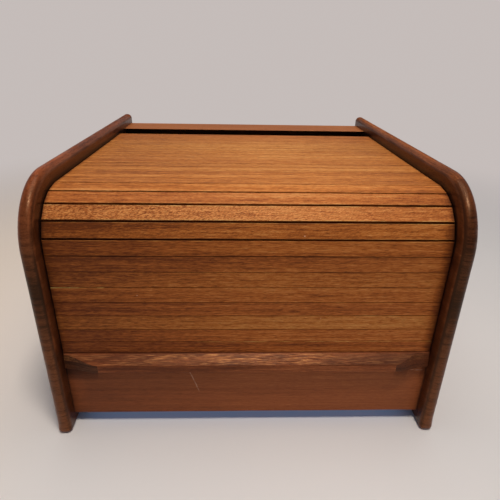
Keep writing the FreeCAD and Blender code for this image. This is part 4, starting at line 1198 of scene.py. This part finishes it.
# ---- floor, light and camera --------------------------------------------------------------------
FLOOR_R = 9.0
floor_mesh = bpy.data.meshes.new("floor")
_ring = 96
_radii = [0.0, 0.6, 1.2, 2.5, 5.0, FLOOR_R]
_fv, _ff = [(0.0, 0.0, 0.0)], []
for r in _radii[1:]:
    _fv += [(r * math.cos(2 * math.pi * k / _ring), r * math.sin(2 * math.pi * k / _ring), 0.0) for k in range(_ring)]
for k in range(_ring):
    _ff.append((0, 1 + k, 1 + (k + 1) % _ring))
for j in range(len(_radii) - 2):
    for k in range(_ring):
        a, b = 1 + j * _ring + k, 1 + j * _ring + (k + 1) % _ring
        _ff.append((a, a + _ring, b + _ring, b))
floor_mesh.from_pydata(_fv, [], _ff)
floor = bpy.data.objects.new("floor", floor_mesh)
bpy.context.scene.collection.objects.link(floor)
m, t = material("floor_paper")
pos = t.node("ShaderNodeTexCoord").outputs["Object"]
far = t.node("ShaderNodeVectorMath", operation="LENGTH")
t.put(far.inputs[0], pos)
haze = t.remap(far.outputs["Value"], 0.42, 1.15, smooth=True)
cloud = t.remap(t.noise(t.stretch(pos, (3.0, 3.0, 3.0)), 2.0), 0.3, 0.7, 0.985, 1.015)
# painted light: the floor turns warmer towards the left
warm = t.remap(t.split(pos)[0], -0.12, -0.42, smooth=True)
base = t.mix(1.0, t.mix(warm, (0.775, 0.765, 0.765), (0.90, 0.80, 0.70)), t.grey(cloud), "MULTIPLY")
diffuse = t.node("ShaderNodeBsdfPrincipled")
t.put(diffuse.inputs["Base Color"], base)
diffuse.inputs["Roughness"].default_value = 0.75
diffuse.inputs["Specular IOR Level"].default_value = 0.2
glow = t.node("ShaderNodeEmission")
t.put(glow.inputs[0], (0.558, 0.505, 0.488))
blend = t.node("ShaderNodeMixShader")
t.put(blend.inputs[0], haze)
t.tree.links.new(diffuse.outputs[0], blend.inputs[1])
t.tree.links.new(glow.outputs[0], blend.inputs[2])
out = t.node("ShaderNodeOutputMaterial")
t.tree.links.new(blend.outputs[0], out.inputs[0])
floor_mesh.materials.append(m)

world = bpy.data.worlds.new("studio")
bpy.context.scene.world = world
world.use_nodes = True
t = Tree(world.node_tree)
direction = t.node("ShaderNodeTexCoord").outputs["Generated"]
_, dy_, dz_ = t.split(direction)
back = t.remap(dy_, -0.6, 0.9, smooth=True)
up = t.remap(dz_, 0.15, 0.9, smooth=True)
room = t.mix(back, (0.136, 0.160, 0.225), (0.25, 0.235, 0.235))
room = t.mix(up, room, (0.10, 0.105, 0.12))
lit = t.node("ShaderNodeBackground")
t.put(lit.inputs[0], room)
lit.inputs[1].default_value = 1.0
seen = t.node("ShaderNodeBackground")
t.put(seen.inputs[0], (0.558, 0.505, 0.488))
seen.inputs[1].default_value = 1.0
pick_ = t.node("ShaderNodeMixShader")
t.put(pick_.inputs[0], t.node("ShaderNodeLightPath").outputs["Is Camera Ray"])
t.tree.links.new(lit.outputs[0], pick_.inputs[1])
t.tree.links.new(seen.outputs[0], pick_.inputs[2])
out = t.node("ShaderNodeOutputWorld")
t.tree.links.new(pick_.outputs[0], out.inputs[0])


def area(name, where, at, size, power, colour):
    d = bpy.data.lights.new(name, "AREA")
    d.shape = "RECTANGLE"
    d.size, d.size_y = size
    d.energy = power
    d.color = colour
    o = bpy.data.objects.new(name, d)
    bpy.context.scene.collection.objects.link(o)
    o.location = where
    o.rotation_mode = "QUATERNION"
    o.rotation_quaternion = (Vector(at) - Vector(where)).to_track_quat("-Z", "Y")
    return o


area("key", (0.13, -0.55, 1.40), (0.0, -0.05, 0.15), (0.26, 0.26), 10.5, (1.0, 0.90, 0.80))
# a little cool light finds its way in under the box
area("under", (0.0, -0.02, 0.0119), (0.0, -0.02, 0.0), (0.31, 0.29), 0.064, (0.22, 0.43, 0.86))
area("soft_top", (0.02, 0.05, 1.7), (0.0, 0.0, 0.1), (1.3, 1.0), 9.1, (1.0, 0.94, 0.88))

scene = bpy.context.scene
scene.view_settings.view_transform = "Standard"
scene.view_settings.look = "None"
scene.view_settings.exposure = 0.0
scene.view_settings.gamma = 1.0

cam_data = bpy.data.cameras.new("camera")
cam_data.lens = 31.465
cam_data.sensor_width = 36.0
cam_data.clip_start, cam_data.clip_end = 0.02, 50.0
cam = bpy.data.objects.new("camera", cam_data)
scene.collection.objects.link(cam)
pitch, yaw, roll = 0.43504, 0.03537, 0.01883
fwd = Vector((math.sin(yaw) * math.cos(pitch), math.cos(yaw) * math.cos(pitch), -math.sin(pitch)))
right = Vector((math.cos(yaw), -math.sin(yaw), 0.0))
upv = right.cross(fwd)
r2 = right * math.cos(roll) + upv * math.sin(roll)
u2 = upv * math.cos(roll) - right * math.sin(roll)
cam.matrix_world = Matrix((
    (r2.x, u2.x, -fwd.x, -0.01178),
    (r2.y, u2.y, -fwd.y, -0.47871),
    (r2.z, u2.z, -fwd.z, 0.32707),
    (0, 0, 0, 1),
))
scene.camera = cam
